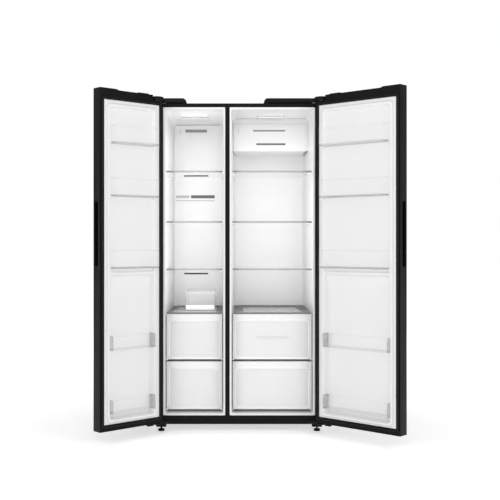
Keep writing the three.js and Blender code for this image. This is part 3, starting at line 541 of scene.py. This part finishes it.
def back_panel():
    """Thin steel sheet with pressed fields and a row of screws down each side."""
    low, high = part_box("back_panel")
    width = high.x - low.x
    margin, gap, raise_by, sheet = 0.055, 0.03, 0.0016, 0.0009
    corner, bend = 0.03, 0.012
    bands = (low.z + 0.07, low.z + 0.70), (low.z + 0.76, high.z - 0.07)
    third = (width - 2 * margin - 2 * gap) / 3
    fields = []
    for k in range(3):
        x0 = low.x + margin + k * (third + gap)
        fields += [(x0, x0 + third, z0, z1) for z0, z1 in bands]

    def face(x, z):
        return high.y + raise_by * max(ease(outside_of(x, z, rect, corner), bend) for rect in fields)

    across = grid_lines(low.x, high.x, [rect[i] for rect in fields for i in (0, 1)], 0.004, 0.032, 0.08)
    up = grid_lines(low.z, high.z, [rect[i] for rect in fields for i in (2, 3)], 0.004, 0.032, 0.12)
    mesh = bmesh.new()
    relief(mesh, across, up, face, lambda x, z: face(x, z) - sheet)
    piece("back_panel_pressed", mesh, [LOOK["galvanised"]], "cabinet", ("back_panel",))
    rows = [low.z + 0.02 + (high.z - low.z - 0.04) * k / 6 for k in range(7)]
    places = [(x, high.y + 0.0004, z) for x in (low.x + 0.018, high.x - 0.018) for z in rows]
    screws("back_panel_screws", places, (0, 1, 0))


def liner(room):
    """Vacuum formed tub with a rolled lip, rounded corners and moulded ledges."""
    corner_grows = [(0.004, 0.006), (0.02, 0.010), (0.06, 0.016), (0.12, CORNER_RADIUS)]
    roll_steps, back_steps = 4, 5
    inner = []
    for k in reversed(range(roll_steps + 1)):
        turn = math.pi / 2 * k / roll_steps
        y = room.front + LIP_ROLL * (1 - math.sin(turn))
        ring = room.section(room.front, LIP_ROLL * (1 - math.cos(turn)))
        inner.append([(x, y, z) for x, _, z in ring])
    inner += [room.section(room.front + depth, 0, radius) for depth, radius in corner_grows]
    last = room.depth - BACK_RADIUS
    inner += [room.section(room.front + last * share, 0, CORNER_RADIUS) for share in (0.5, 0.75)]
    for k in range(back_steps + 1):
        turn = math.pi / 2 * k / back_steps
        y = room.front + last + BACK_RADIUS * math.sin(turn)
        inner.append(room.section(y, -BACK_RADIUS * (1 - math.cos(turn)), CORNER_RADIUS))
    lip = rounded_rect(*room.mouth, MOUTH_RADIUS)
    lips = [[(x, room.front + sheet, z) for x, z in lip] for sheet in (LINER_SHEET, 0)]
    outer = [
        room.section(room.front + room.depth * k / 4 + LINER_SHEET, LINER_SHEET, 0.012)
        for k in reversed(range(5))
    ]
    mesh = bmesh.new()
    loft(mesh, [*outer, *lips, *inner])
    machine_step(mesh, room)
    for top, y0, y1 in ledge_tops(room):
        for side, wall in ((1, room.left), (-1, room.right)):
            part = bmesh.new()
            ends = sorted((wall - side * 0.001, wall + side * LEDGE["reach"]))
            rounded_box(part, (ends[0], y0, top - LEDGE["height"]), (ends[1], y1, top), LEDGE["edge"])
            room.follow_walls(part)
            merge(mesh, part)
    node = f"{room.name}_liner"
    obj = piece(f"{node}_moulding", mesh, [LOOK["liner"]], "cabinet", (node,))
    obj.modifiers.new("normals", "WEIGHTED_NORMAL").keep_sharp = True


def ledge_tops(room):
    """(height, front, back) of each ledge, from the pieces that rest on it."""
    gap = 0.0004
    runs = []
    for node in [f"{room.name}_shelf_{i}" for i in (1, 2, 3)]:
        low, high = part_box(node)
        runs.append((low.z + (SHELF_TRIM["height"] - 0.005) / 2 - gap, low.y + 0.02, high.y))
    low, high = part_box(f"{room.name}_drawer_cover")
    runs.append((low.z - gap, low.y + 0.022, high.y - 0.04))
    for level in ("upper", "lower"):
        low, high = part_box(f"{room.name}_drawer_{level}")
        runs.append((low.z - gap, low.y + 0.015, high.y + 0.008))
    return runs


def machine_step(mesh, room):
    """The box in the lower back that clears the machine compartment, with a rounded front edge."""
    y0, y1 = room.front + STEP_DEPTH, room.front + room.depth - 0.002
    steps, bite = 6, 0.001
    profile = [(y1, room.floor - bite), (y0, room.floor - bite)]
    for k in range(steps + 1):
        turn = math.pi / 2 * k / steps
        inset, drop = STEP_EDGE * (1 - math.cos(turn)), STEP_EDGE * (1 - math.sin(turn))
        profile.append((y0 + inset, STEP_TOP - drop))
    profile.append((y1, STEP_TOP))
    part = bmesh.new()
    ends = [room.left + bite, room.right - bite]
    loft(part, [[(x, y, z) for y, z in profile] for x in ends])
    room.follow_walls(part)
    merge(mesh, part)


def hinge_cover(side):
    """Moulded cap over an upper hinge, with a rounded top and two screws."""
    node = f"hinge_cover_{side}"
    low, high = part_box(node)

    def round_top(a, b):
        return min(a.z, b.z) > high.z - 0.0002

    softened(node, LOOK["plastic"], 0.0008, 2, [(round_top, 0.0045)], 50)
    middle, reach, from_back = (low.x + high.x) / 2, 0.03, 0.03
    places = [(x, high.y - from_back, high.z - 0.0003) for x in (middle - reach, middle + reach)]
    screws(f"{node}_screws", places, (0, 0, 1), 0.0035)


def foot(side):
    """Levelling foot: a knurled pad on a threaded stem, under a moulded collar."""
    node = f"foot_{side}"
    low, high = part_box(node)
    x, y = (low.x + high.x) / 2, (low.y + high.y) / 2
    pad_top, knurl = 0.012, 0.0004
    rim = (high.x - low.x) / 2 - knurl
    mesh = bmesh.new()
    turned(
        mesh, (x, y, 0),
        [(rim * 0.86, 0), (rim * 0.97, 0.0008), (rim, 0.002), (rim, 0.0098), (rim * 0.97, 0.0114),
         (rim * 0.86, pad_top), (rim * 0.5, pad_top), (rim * 0.44, pad_top + 0.003)],
        sides=96, flutes=24, flute_depth=knurl,
    )
    pitch, stem, thread_depth = 0.0016, 0.0048, 0.0008
    turns = int((high.z - pad_top) / pitch)
    thread = [(stem - thread_depth * (k % 2), pad_top + k * pitch / 2) for k in range(2 * turns)]
    turned(mesh, (x, y, 0), thread, sides=24)
    piece(f"{node}_turned", mesh, [LOOK["plastic"]], node, (node,))
    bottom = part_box("front_frame")[0].z
    collar = (x - 0.027, y - 0.016, bottom - 0.016), (x + 0.027, y + 0.02, bottom + 0.002)
    blocks(f"foot_collar_{side}", "plastic", [collar], 0.003, "black_plastic")


def roller(side):
    """Rear roller with a rounded tread and a clear bore for its axle."""
    node = f"roller_{side}"
    low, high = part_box(node)
    centre = ((low.x + high.x) / 2, (low.y + high.y) / 2, (low.z + high.z) / 2)
    half, radius, bore = (high.x - low.x) / 2, (high.z - low.z) / 2, 0.0045
    edge = 0.003
    profile = [
        (bore, -half), (bore * 1.9, -half), (bore * 2, -half + 0.0015), (radius * 0.78, -half + 0.0015),
        (radius * 0.82, -half), (radius - edge, -half), (radius - 0.0008, -half + 0.0012),
        (radius, -half + edge), (radius, half - edge), (radius - 0.0008, half - 0.0012),
        (radius - edge, half), (radius * 0.82, half), (radius * 0.78, half - 0.0015),
        (bore * 2, half - 0.0015), (bore * 1.9, half), (bore, half),
    ]
    mesh = bmesh.new()
    turned(mesh, centre, profile, axis="X", sides=56, closed=True)
    piece(f"{node}_wheel", mesh, [LOOK["plastic"]], node, (node,))


def compressor_can():
    """Welded steel can with a flange round its waist and a terminal cover."""
    low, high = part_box("compressor")
    centre = ((low.x + high.x) / 2, (low.y + high.y) / 2, low.z)
    flange, dome_steps = 0.004, 9
    radius, height = (high.x - low.x) / 2 - flange, high.z - low.z
    waist = height * 0.56
    shoulder = waist + 0.02
    profile = [
        (radius * 0.7, 0.0), (radius * 0.9, 0.004), (radius, 0.022), (radius, waist - 0.003),
        (radius + flange, waist - 0.002), (radius + flange, waist + 0.002), (radius, waist + 0.003),
    ]
    for k in range(dome_steps):
        turn = math.pi / 2 * k / dome_steps
        profile.append((radius * math.cos(turn), shoulder + (height - shoulder) * math.sin(turn)))
    mesh = bmesh.new()
    turned(mesh, centre, profile, sides=64)
    cover_low = (centre[0] - 0.028, low.y - 0.004, low.z + 0.05)
    rounded_box(mesh, cover_low, (centre[0] + 0.028, low.y + 0.012, low.z + 0.1), 0.004)
    piece("compressor_can", mesh, [LOOK["enamel"]], "cabinet", ("compressor",))


def plain_nodes():
    """Nodes whose CAD shape is right once its edges are eased."""
    softened("front_frame", LOOK["frame"], 0.0006)
    softened("base_frame", LOOK["galvanised"], 0.0005)
    softened("machine_cover", LOOK["galvanised"], 0.0003)
    softened("power_inlet", LOOK["plastic"], 0.0012)
    softened("drip_tray", LOOK["plastic"], 0.0008)
    softened("evaporator", LOOK["fins"], 0.0004, 1)
    softened("evaporator_fan", LOOK["plastic"], 0.0005)
    softened("fan_motor", LOOK["zinc"], 0.0012)
    softened("condenser_coil", LOOK["enamel"], 0, smooth=70)
    for side in ("left", "right"):
        softened(f"upper_hinge_{side}", LOOK["zinc"], 0.0006)
        softened(f"lower_hinge_{side}", LOOK["enamel"], 0.0008)
        softened(f"roller_axle_{side}", LOOK["zinc"], 0.0006, smooth=50)
    frame["nodes"]["insulation_foam"].data.materials.clear()
    frame["nodes"]["insulation_foam"].data.materials.append(LOOK["foam"])
    low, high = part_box("machine_cover")
    rows = [low.x + 0.02 + (high.x - low.x - 0.04) * k / 5 for k in range(6)]
    places = [(x, high.y, z) for x in rows for z in (low.z + 0.014, high.z - 0.014)]
    screws("machine_cover_screws", places, (0, 1, 0))


# ---------------------------------------------------------------- fittings inside

def air_panel():
    """Panel over the freezer's evaporator: eased edges, slots made dark by a painted shade sheet behind them, a
    louvre and plain marks.
    """
    low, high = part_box("freezer_air_panel")
    softened("freezer_air_panel", LOOK["panel"], 0.0012)
    middle = freezer.middle - 0.015
    shelf_1, shelf_3 = [sum(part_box(f"freezer_shelf_{i}"), Vector()).z / 2 for i in (1, 3)]
    slots = [high.z - 0.034, shelf_1 + 0.013, shelf_3 - 0.042]

    def bar(x0, x1, z0, z1, proud=0.0006, sunk=0.001):
        return (middle + x0, low.y - proud, z0), (middle + x1, low.y + sunk, z1)

    pitch, half_bar = 0.0044, 0.0013
    middles = [slots[0] + pitch * k for k in (-2, -1, 0, 1, 2)]
    louvre = [bar(-0.064, 0.064, z - half_bar, z + half_bar, 0.0008, 0.004) for z in middles]
    blocks("freezer_air_louvre", "vent", louvre, 0.0005, "white_liner")
    # Painted shade: a near-black sheet behind each slot stands in for the shade inside it.
    reach, half_slot_shade = 0.08, 0.012
    slot_shades = [
        ((middle - reach, high.y + 0.0003, z - half_slot_shade),
         (middle + reach, high.y + 0.0016, z + half_slot_shade))
        for z in slots
    ]
    blocks("freezer_duct_lining", "duct", slot_shades, 0.0003, "black_plastic")
    sensor = bar(-0.095, -0.091, slots[0] - 0.018, slots[0] + 0.008, 0.0012)
    blocks("freezer_air_sensor", "faint", [sensor], 0.0005, "white_liner")
    marks = [
        bar(-0.03, 0.11, shelf_1 - 0.120, shelf_1 - 0.102),
        bar(-0.12, 0.11, shelf_1 - 0.136, shelf_1 - 0.1335),
    ]
    blocks("freezer_panel_marks", "mark", marks, 0.0003, "white_liner")
    pale = bar(-0.119, -0.040, shelf_1 - 0.119, shelf_1 - 0.103)
    blocks("freezer_panel_pale_mark", "faint", [pale], 0.0003, "white_liner")


def air_duct():
    """Box under the fresh food ceiling with rounded corners and a grey louvre in its slot."""
    low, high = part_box("fridge_air_duct")

    def outer(a, b):
        sides = [min(abs(co.x - low.x), abs(co.x - high.x)) < 0.0105 for co in (a, b)]
        ends = [min(abs(co.z - low.z), abs(co.z - high.z)) < 0.0002 for co in (a, b)]
        front = [co.y < low.y + 0.0002 for co in (a, b)]
        along = abs(a.y - b.y) > 0.1 and all(sides) and all(ends)
        rim = all(front) and (abs(a.x - b.x) > 0.3 or abs(a.z - b.z) > 0.12)
        return along or rim

    softened("fridge_air_duct", LOOK["duct_box"], 0.0008, 2, [(outer, 0.0065)])
    front, back, gap = low.y + 0.003, low.y + 0.02, 0.0002
    share = (back - fridge.front) / fridge.depth
    roof = fridge.ceiling - CEILING_DROP * share - gap
    wall = fridge.right - DRAFT * share - gap
    seals = [
        ((low.x, front, high.z - 0.001), (wall, back, roof)),
        ((high.x - 0.001, front, low.z + 0.004), (wall, back, high.z)),
    ]
    blocks("fridge_duct_seal", "duct_box", seals, 0.0008, "white_liner")
    middle, slot = (low.x + high.x) / 2, high.z - 0.042

    def bar(x0, x1, z0, z1, proud=0.0006, sunk=0.001):
        return (x0, low.y - proud, z0), (x1, low.y + sunk, z1)

    pitch, half_bar = 0.0035, 0.0012
    louvre = [
        bar(middle - 0.094, middle + 0.087, z - half_bar, z + half_bar, sunk=0.005)
        for z in (slot - pitch, slot, slot + pitch)
    ]
    blocks("fridge_duct_louvre", "vent", louvre, 0.0005, "white_liner")
    mark = bar(middle - 0.075, middle + 0.089, low.z + 0.035, low.z + 0.045)
    blocks("fridge_duct_mark", "mark", [mark], 0.0003, "white_liner")
    sensor = bar(low.x + 0.03, low.x + 0.033, slot - 0.016, slot + 0.012, 0.0012)
    blocks("fridge_duct_sensor", "faint", [sensor], 0.0005, "white_liner")


def lamp(room):
    """Ceiling lamp: a ribbed lens with bright glowing bands and dim bands of painted shade, in a thin bezel."""
    node = f"{room.name}_lamp"
    low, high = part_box(node)
    inset, rib, ripple = 0.004, 0.008, 0.0005
    bottom = low.z + 0.0008
    bright = ((0.0, 0.26), (0.74, 1.0)) if room.name == "freezer" else ((0.3, 0.7),)

    def face(_, y):
        return bottom - ripple * math.cos(2 * math.pi * (y - low.y) / rib)

    # Slot 1 is painted shade: the dim bands take a grey copy of the lens plastic.
    def band(_, y):
        share = (y - low.y) / (high.y - low.y)
        return 0 if any(start < share < end for start, end in bright) else 1

    across, along = [
        [start + inset + (end - start - 2 * inset) * k / cells for k in range(cells + 1)]
        for start, end, cells in ((low.x, high.x, 4), (low.y, high.y, 60))
    ]
    mesh = bmesh.new()
    relief(mesh, across, along, face, lambda x, y: bottom + 0.004, band)
    swap_y_z = Matrix(((1, 0, 0, 0), (0, 0, 1, 0), (0, 1, 0, 0), (0, 0, 0, 1)))
    piece(f"{node}_lens", mesh, [LOOK["lens"], LOOK["lens_edge"]], "cabinet", (node,), at=swap_y_z)
    mesh = bmesh.new()
    section = (0, high.z), (0, low.z + 0.001), (0.001, low.z), (0.0045, low.z), (0.005, high.z)
    loft(mesh, [inset_ring(low, high, reach, z, 0.008 - reach) for reach, z in section], closed=True)
    piece(f"{node}_bezel", mesh, [LOOK["panel"]], "cabinet", slot="lamp_lens")


def shelf(room, number):
    """Glass sheet with a grey front trim, and clear side rails and back stop."""
    node = f"{room.name}_shelf_{number}"
    low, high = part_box(node)
    body, lean = BODY_OF[node], (room, low.y)
    side, height = SHELF_TRIM["side"], SHELF_TRIM["height"]
    trim_back = low.y + SHELF_TRIM["depth"]
    middle = low.z + height / 2
    inset, half = (0.0022, 0.003), GLASS_SHEET / 2
    sheet = (
        (low.x + inset[0], low.y + inset[1], middle - half),
        (high.x - inset[0], high.y - inset[1], middle + half),
    )
    blocks(f"{node}_glass", "glass", [sheet], 0.0006, None, body, (node,), 2, lean)
    trim = (low.x, low.y, low.z + 0.0003), (high.x, trim_back, high.z - 0.0003)
    blocks(f"{node}_trim", "trim", [trim], 0.0022, "shelf_glass", body, segments=4, lean=lean)
    stop = (low.x + 0.004, high.y - SHELF_TRIM["depth"], middle), (high.x - 0.004, high.y, high.z)
    rails = [
        ((x, trim_back, middle - 0.0032), (x + side, high.y - 0.004, middle + 0.0032))
        for x in (low.x, high.x - side)
    ]
    blocks(f"{node}_rails", "glass", [stop, *rails], 0.0012, "shelf_glass", body, lean=lean)


def drawer_cover(room):
    """Grey frame round a glass inset, fixed over the drawers."""
    node = f"{room.name}_drawer_cover"
    low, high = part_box(node)
    side, front, back = (0.030, 0.014, 0.03) if room.name == "freezer" else (0.052, 0.014, 0.05)
    start, end = Vector((low.x + side, low.y + front, 0)), Vector((high.x - side, high.y - back, 0))
    outer_corner, inner_corner, edge, burr = 0.004, 0.010, 0.0012, 0.0008
    rings = [
        inset_ring(low, high, inset, z, outer_corner)
        for inset, z in ((edge, low.z), (0, low.z + edge), (0, high.z - edge), (edge, high.z))
    ]
    rings += [
        inset_ring(start, end, inset, z, inner_corner)
        for inset, z in ((-burr, high.z), (0, high.z - burr), (0, low.z))
    ]
    mesh = bmesh.new()
    loft(mesh, rings, closed=True)
    room.follow_walls(mesh, low.y)
    piece(f"{node}_frame", mesh, [LOOK["cover_frame"]], "cabinet", (node,))
    lap = 0.004
    glass = (
        (start.x - lap, start.y - lap, low.z + 0.0012), (end.x + lap, end.y + lap, high.z - 0.0014),
    )
    blocks(f"{node}_glass", "cover_glass", [glass], 0.0005, "grey_glass", segments=2, lean=(room, low.y))


def drawer(room, level):
    """Moulded drawer: a front with a recessed window under its grip band, and a drafted tub."""
    node = f"{room.name}_drawer_{level}"
    body = BODY_OF[node]
    low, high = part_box(node)
    size = DRAWER_WINDOW
    window = (low.x + size["post"], high.x - size["post"], low.z + size["sill"], high.z - size["band"])
    corner, ease_width, edge = 0.012, 0.005, 0.003

    def face(x, z):
        recess = size["depth"] * ease(outside_of(x, z, window, corner), ease_width)
        past = outside_of(x, z, (low.x, high.x, low.z, high.z), edge) + edge
        roll = edge - math.sqrt(max(0.0, edge ** 2 - max(0.0, past) ** 2))
        return low.y + recess + roll

    def in_window(x, z):
        return 1 if outside_of(x, z, window, corner) < -ease_width / 2 else 0

    across = grid_lines(low.x, high.x, [low.x, window[0], window[1], high.x], 0.0015, 0.012, 0.06)
    up = grid_lines(low.z, high.z, [low.z, window[2], window[3], high.z], 0.0015, 0.012, 0.06)
    mesh = bmesh.new()
    relief(mesh, across, up, face, lambda x, z: max(face(x, z) + 0.0025, low.y + 0.004), in_window)
    piece(f"{node}_front", mesh, [LOOK["drawer"], LOOK["window"]], body, (node,))
    tub(
        f"{node}_tub", body, room,
        (low.x + 0.001, high.x - 0.001, low.y + DRAWER_FRONT - 0.002, high.y, low.z, high.z - 0.009),
    )
    if node == "fridge_drawer_upper":
        x, y, z = (low.x + high.x) / 2, low.y + size["depth"], high.z - 0.128
        mark = (x - 0.085, y - 0.0006, z - 0.005), (x + 0.085, y + 0.001, z + 0.005)
        blocks(f"{node}_mark", "faint", [mark], 0.0003, "frosted_plastic", body)


def tub(name, body, room, box):
    """Open drawer tub with rounded corners and a turned rim, drawn in towards the back."""
    x0, x1, y0, y1, z0, z1 = box
    wall, edge = DRAWER_WALL, 0.0005
    rim = (0, 0.004), (0, edge), (edge, 0), (wall - edge, 0), (wall, edge)
    mesh = bmesh.new()
    loft(mesh, tub_rings(Vector((x0, y0, z0)), Vector((x1, y1, z1)), wall, 0.014, 0.008, rim))
    room.follow_walls(mesh, y0)
    piece(name, mesh, [LOOK["frosted"]], body, slot="frosted_plastic")


def ice_box():
    """Clear box for ice with a pull lip along its front; its lower lip is opaque white, a painted highlight along
    the front edge.
    """
    low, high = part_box("ice_box")
    front = low.y + 0.008
    wall, edge = 0.003, 0.0008
    rim = (0, edge), (edge, 0), (wall, 0), (wall, 0.001)
    rings = tub_rings(Vector((low.x, front, low.z)), high, wall, 0.012, 0.008, rim)
    mesh = bmesh.new()
    loft(mesh, rings)
    piece("ice_box_tub", mesh, [LOOK["ice"]], "ice_box", ("ice_box",))
    upper = (low.x, low.y, high.z - 0.014), (high.x, front + 0.002, high.z - 0.006)
    blocks("ice_box_upper_lip", "ice", [upper], 0.003, "clear_plastic", "ice_box")
    # Painted highlight: the lower lip takes opaque white plastic for the bright band along the clear box's front
    # edge.
    lower = (
        (low.x + 0.002, low.y + 0.001, low.z + 0.001), (high.x - 0.002, front + 0.001, low.z + 0.028),
    )
    blocks("ice_box_lower_lip", "panel", [lower], 0.003, "clear_plastic", "ice_box")


# ---------------------------------------------------------------- doors

def door_liner(room, axes):
    """Inner face of a door: a raised rib round two pockets, with a cross rib between them."""
    node = f"{room}_door_liner"
    to_local = axes.inverted()
    low, high = local_box(node, to_local)
    third = local_box(f"{room}_door_bin_3", to_local)[0].z
    ribs = (low.x + RIB["hinge"], high.x - RIB["free"], low.z + RIB["bottom"], high.z - RIB["top"])
    inner = (ribs[0] + RIB["width"], ribs[1] - RIB["width"])
    cross = third - CROSS_RIB["below_bin"]
    lower = (*inner, ribs[2] + RIB["width"], cross)
    upper = (*inner, cross + CROSS_RIB["height"], ribs[3] - RIB["width"])
    bead, margin, sheet = 0.0012, 0.004, 0.0022
    rim = low.x + margin, high.x - margin, low.z + margin, high.z - margin

    def face(u, z):
        level = bead * (1 - abs(2 * ease(outside_of(u, z, rim, 0.006), 0.006) - 1)) + 0.0002
        level += RIB["height"] * ease(outside_of(u, z, ribs, 0.022), 0.008)
        for rect, recess, width in ((upper, UPPER_RECESS, 0.007), (lower, LOWER_RECESS, 0.009)):
            if rect is lower:
                recess *= 1 - UNDER_RIB * ease(cross - z - POCKET_SLOPE / 2, POCKET_SLOPE)
            level += (-recess - level) * ease(outside_of(u, z, rect, 0.016), width)
        return level

    u_edges = [low.x + 0.003, ribs[0], inner[0], inner[1], ribs[1], high.x - 0.003]
    z_edges = [low.z + 0.003, ribs[2], lower[2], lower[3], upper[2], upper[3], ribs[3], high.z - 0.003]
    mesh = bmesh.new()
    across = grid_lines(low.x, high.x, u_edges, 0.0016, 0.0112, 0.05)
    slope = [cross - POCKET_SLOPE * k / 12 for k in range(2, 13)]
    up = sorted({*grid_lines(low.z, high.z, z_edges, 0.0016, 0.0112, 0.08), *slope})
    relief(mesh, across, up, face, lambda u, z: face(u, z) - sheet)
    lug = {"in": 0.005, "out": 0.003, "height": 0.009, "reach": 0.015, "edge": 0.0015}
    gap, bite = 0.0004, 0.001
    for i in range(1, 6):
        top = local_box(f"{room}_door_bin_{i}", to_local)[0].z - gap
        recess = UPPER_RECESS if top > cross else LOWER_RECESS
        for u0, u1 in (
            (inner[0] - lug["out"], inner[0] + lug["in"]), (inner[1] - lug["in"], inner[1] + lug["out"]),
        ):
            start, end = (u0, -recess - bite, top - lug["height"]), (u1, lug["reach"] - recess, top)
            rounded_box(mesh, start, end, lug["edge"])
    piece(f"{node}_moulding", mesh, [LOOK["liner"]], f"{room}_door", (node,), at=axes)


def door_gasket(room, axes):
    """Magnetic gasket: a bellows foot and a rounded bulb, swept round the door."""
    node = f"{room}_door_gasket"
    low, high = local_box(node, axes.inverted())
    band, top = 0.009, high.y
    profile = (
        (0.0004, 0.0004), (0.0, 0.0016), (0.0016, 0.0028), (0.0002, 0.0042), (0.0, top - 0.002),
        (0.0008, top - 0.0006), (0.0022, top), (band - 0.0022, top), (band - 0.0008, top - 0.0006),
        (band, top - 0.002), (band - 0.0002, 0.0042), (band - 0.0016, 0.0028), (band - 0.0008, 0.0016),
        (band - 0.0012, 0.0004),
    )
    rings = []
    for inset, out in profile:
        radius = max(0.012 - inset, 0.002)
        outline = rounded_rect(low.x + inset, high.x - inset, low.z + inset, high.z - inset, radius)
        rings.append([(u, out, z) for u, z in outline])
    mesh = bmesh.new()
    loft(mesh, rings, closed=True)
    piece(f"{node}_bellows", mesh, [LOOK["rubber"]], f"{room}_door", (node,), at=axes)


def door_bin(room, number, axes):
    """Clear bin with rounded corners and a turned rim. The lower two have grey end brackets."""
    node = f"{room}_door_bin_{number}"
    low, high = local_box(node, axes.inverted())
    body = BODY_OF[node]
    bracket = 0.004 if number > 3 else 0.0
    end = Vector((bracket, 0, 0))
    wall, edge, band = BIN_WALL, 0.0006, 0.005
    rim = (0, band), (0, edge), (edge, 0), (wall - edge, 0), (wall, edge), (wall, band)
    rings = tub_rings(low + end, high - end, wall, BIN_CORNER, BIN_FOOT, rim)
    # The foot faces take a grey copy of the clear plastic: painted shade along the bin's bottom, lighter on the
    # lower two.
    clear, foot, lip = 0, 1, 2
    slots = [clear, foot, foot, foot, clear, lip, lip, lip, lip, lip] + [clear] * (len(rings) - 11)
    mesh = bmesh.new()
    loft(mesh, rings, slots=slots)
    looks = [LOOK[name] for name in ("clear", "pale_foot_painted_shade" if bracket else "clear_foot_painted_shade", "clear_lip")]
    piece(f"{node}_tub", mesh, looks, body, (node,), at=axes)
    if not bracket:
        return
    ends = [
        ((u, low.y + 0.001, low.z + 0.002), (u + bracket, high.y, high.z + 0.001))
        for u in (low.x, high.x - bracket)
    ]
    blocks(f"{node}_brackets", "bracket", ends, 0.0018, "clear_plastic", body, at=axes)


def door(room):
    axes = door_frame(room)
    softened(f"{room}_door_panel", LOOK["door"], 0.0016, 3)
    door_liner(room, axes)
    door_gasket(room, axes)
    for number in range(1, 6):
        door_bin(room, number, axes)


# ---------------------------------------------------------------- stage

def area_light(name, place, size, power, facing):
    light = bpy.data.lights.new(name, "AREA")
    light.shape, light.size, light.size_y, light.energy = "RECTANGLE", *size, power
    obj = bpy.data.objects.new(name, light)
    obj.location = place
    obj.rotation_euler = facing.to_track_quat("-Z", "Z").to_euler()
    scene.collection.objects.link(obj)


def floor_look():
    """White floor that glows a little, more so away from the object."""
    white = (1, 1, 1, 1)
    look = surface("pale_floor", (0.86, 0.88), (0.7, 0.8), (60, 0.02), Emission_Color=white)
    tree = look.node_tree
    coords = tree.nodes.new("ShaderNodeTexCoord").outputs["Object"]
    length = tree.nodes.new("ShaderNodeVectorMath")
    length.operation = "LENGTH"
    tree.links.new(coords, length.inputs[0])
    glow = tree.nodes.new("ShaderNodeMapRange")
    tree.links.new(length.outputs["Value"], glow.inputs["Value"])
    for socket, value in (("From Min", 1.0), ("From Max", 4.0), ("To Min", 0.42), ("To Max", 0.68)):
        glow.inputs[socket].default_value = value
    node_input(tree, tree.nodes["Principled BSDF"], "Emission Strength", glow.outputs["Result"])
    return look


def pale_floor():
    mesh = bmesh.new()
    reach, gap = 30, 0.0005
    corners = ((-reach, -reach), (reach, -reach), (reach, reach), (-reach, reach))
    mesh.faces.new([mesh.verts.new((x, y, -gap)) for x, y in corners])
    data = bpy.data.meshes.new("floor")
    mesh.to_mesh(data)
    mesh.free()
    obj = bpy.data.objects.new("floor", data)
    scene.collection.objects.link(obj)
    data.materials.append(floor_look())


def sky():
    """White sky that lights the object less than it shows."""
    world = bpy.data.worlds.new("studio")
    world.use_nodes = True
    tree = world.node_tree
    background = tree.nodes["Background"]
    background.inputs["Color"].default_value = (1, 1, 1, 1)
    seen = tree.nodes.new("ShaderNodeLightPath").outputs["Is Camera Ray"]
    strength = tree.nodes.new("ShaderNodeMapRange")
    tree.links.new(seen, strength.inputs["Value"])
    strength.inputs["To Min"].default_value = SKY_LIGHT
    strength.inputs["To Max"].default_value = 1.0
    tree.links.new(strength.outputs["Result"], background.inputs["Strength"])
    scene.world = world


def lights():
    """Four soft boxes round the object, and two fill lights in each compartment's mouth."""
    target = Vector((0, 0, 0.95))
    for name, place, size, power in (
        ("front_box", (0.0, -5.2, 3.4), 2.4, 50),
        ("left_box", (-3.4, -3.2, 3.2), 1.6, 36),
        ("right_box", (3.4, -3.2, 3.2), 1.6, 36),
        ("back_box", (0.5, 4.5, 3.0), 2.5, 60),
    ):
        area_light(name, place, (size, size), power, target - Vector(place))
    for room in (freezer, fridge):
        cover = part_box(f"{room.name}_drawer_cover")[1].z
        top = room.ceiling - FILL_BELOW_CEILING[room.name]
        for name, z0, z1, level in (
            ("upper", cover, top, UPPER_FILL[room.name]), ("lower", room.floor, cover, FILL["lower"]),
        ):
            size = room.right - room.left - 2 * FILL["margin"], z1 - z0 - 2 * FILL["gap"]
            place = room.middle, room.front + FILL["behind_mouth"], (z0 + z1) / 2
            power = math.pi * level * size[0] * size[1]
            area_light(f"{room.name}_{name}_fill", place, size, power, Vector((0, 1, 0)))


def camera():
    lens = bpy.data.cameras.new("camera")
    lens.lens, lens.sensor_width = 64.8, 36
    lens.shift_x, lens.shift_y = 0.023, -0.02
    obj = bpy.data.objects.new("camera", lens)
    aside, distance, height = -0.0508, 4.795, 1.020
    obj.location = (aside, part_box("front_frame")[0].y - distance, height)
    obj.rotation_euler = (math.radians(90), 0, 0)
    scene.collection.objects.link(obj)
    scene.camera = obj


def studio():
    """Pale floor, soft lights and the camera."""
    pale_floor()
    sky()
    lights()
    camera()
    scene.view_settings.view_transform = "Standard"
    scene.cycles.transparent_max_bounces = 48


LOOK = make_looks()
freezer, fridge = Room("freezer"), Room("fridge")

cabinet_shell()
back_panel()
plain_nodes()
compressor_can()
for side in ("left", "right"):
    hinge_cover(side)
    foot(side)
    roller(side)
air_panel()
air_duct()
ice_box()
for room in (freezer, fridge):
    liner(room)
    lamp(room)
    for number in (1, 2, 3):
        shelf(room, number)
    drawer_cover(room)
    for level in ("upper", "lower"):
        drawer(room, level)
    door(room.name)
studio()
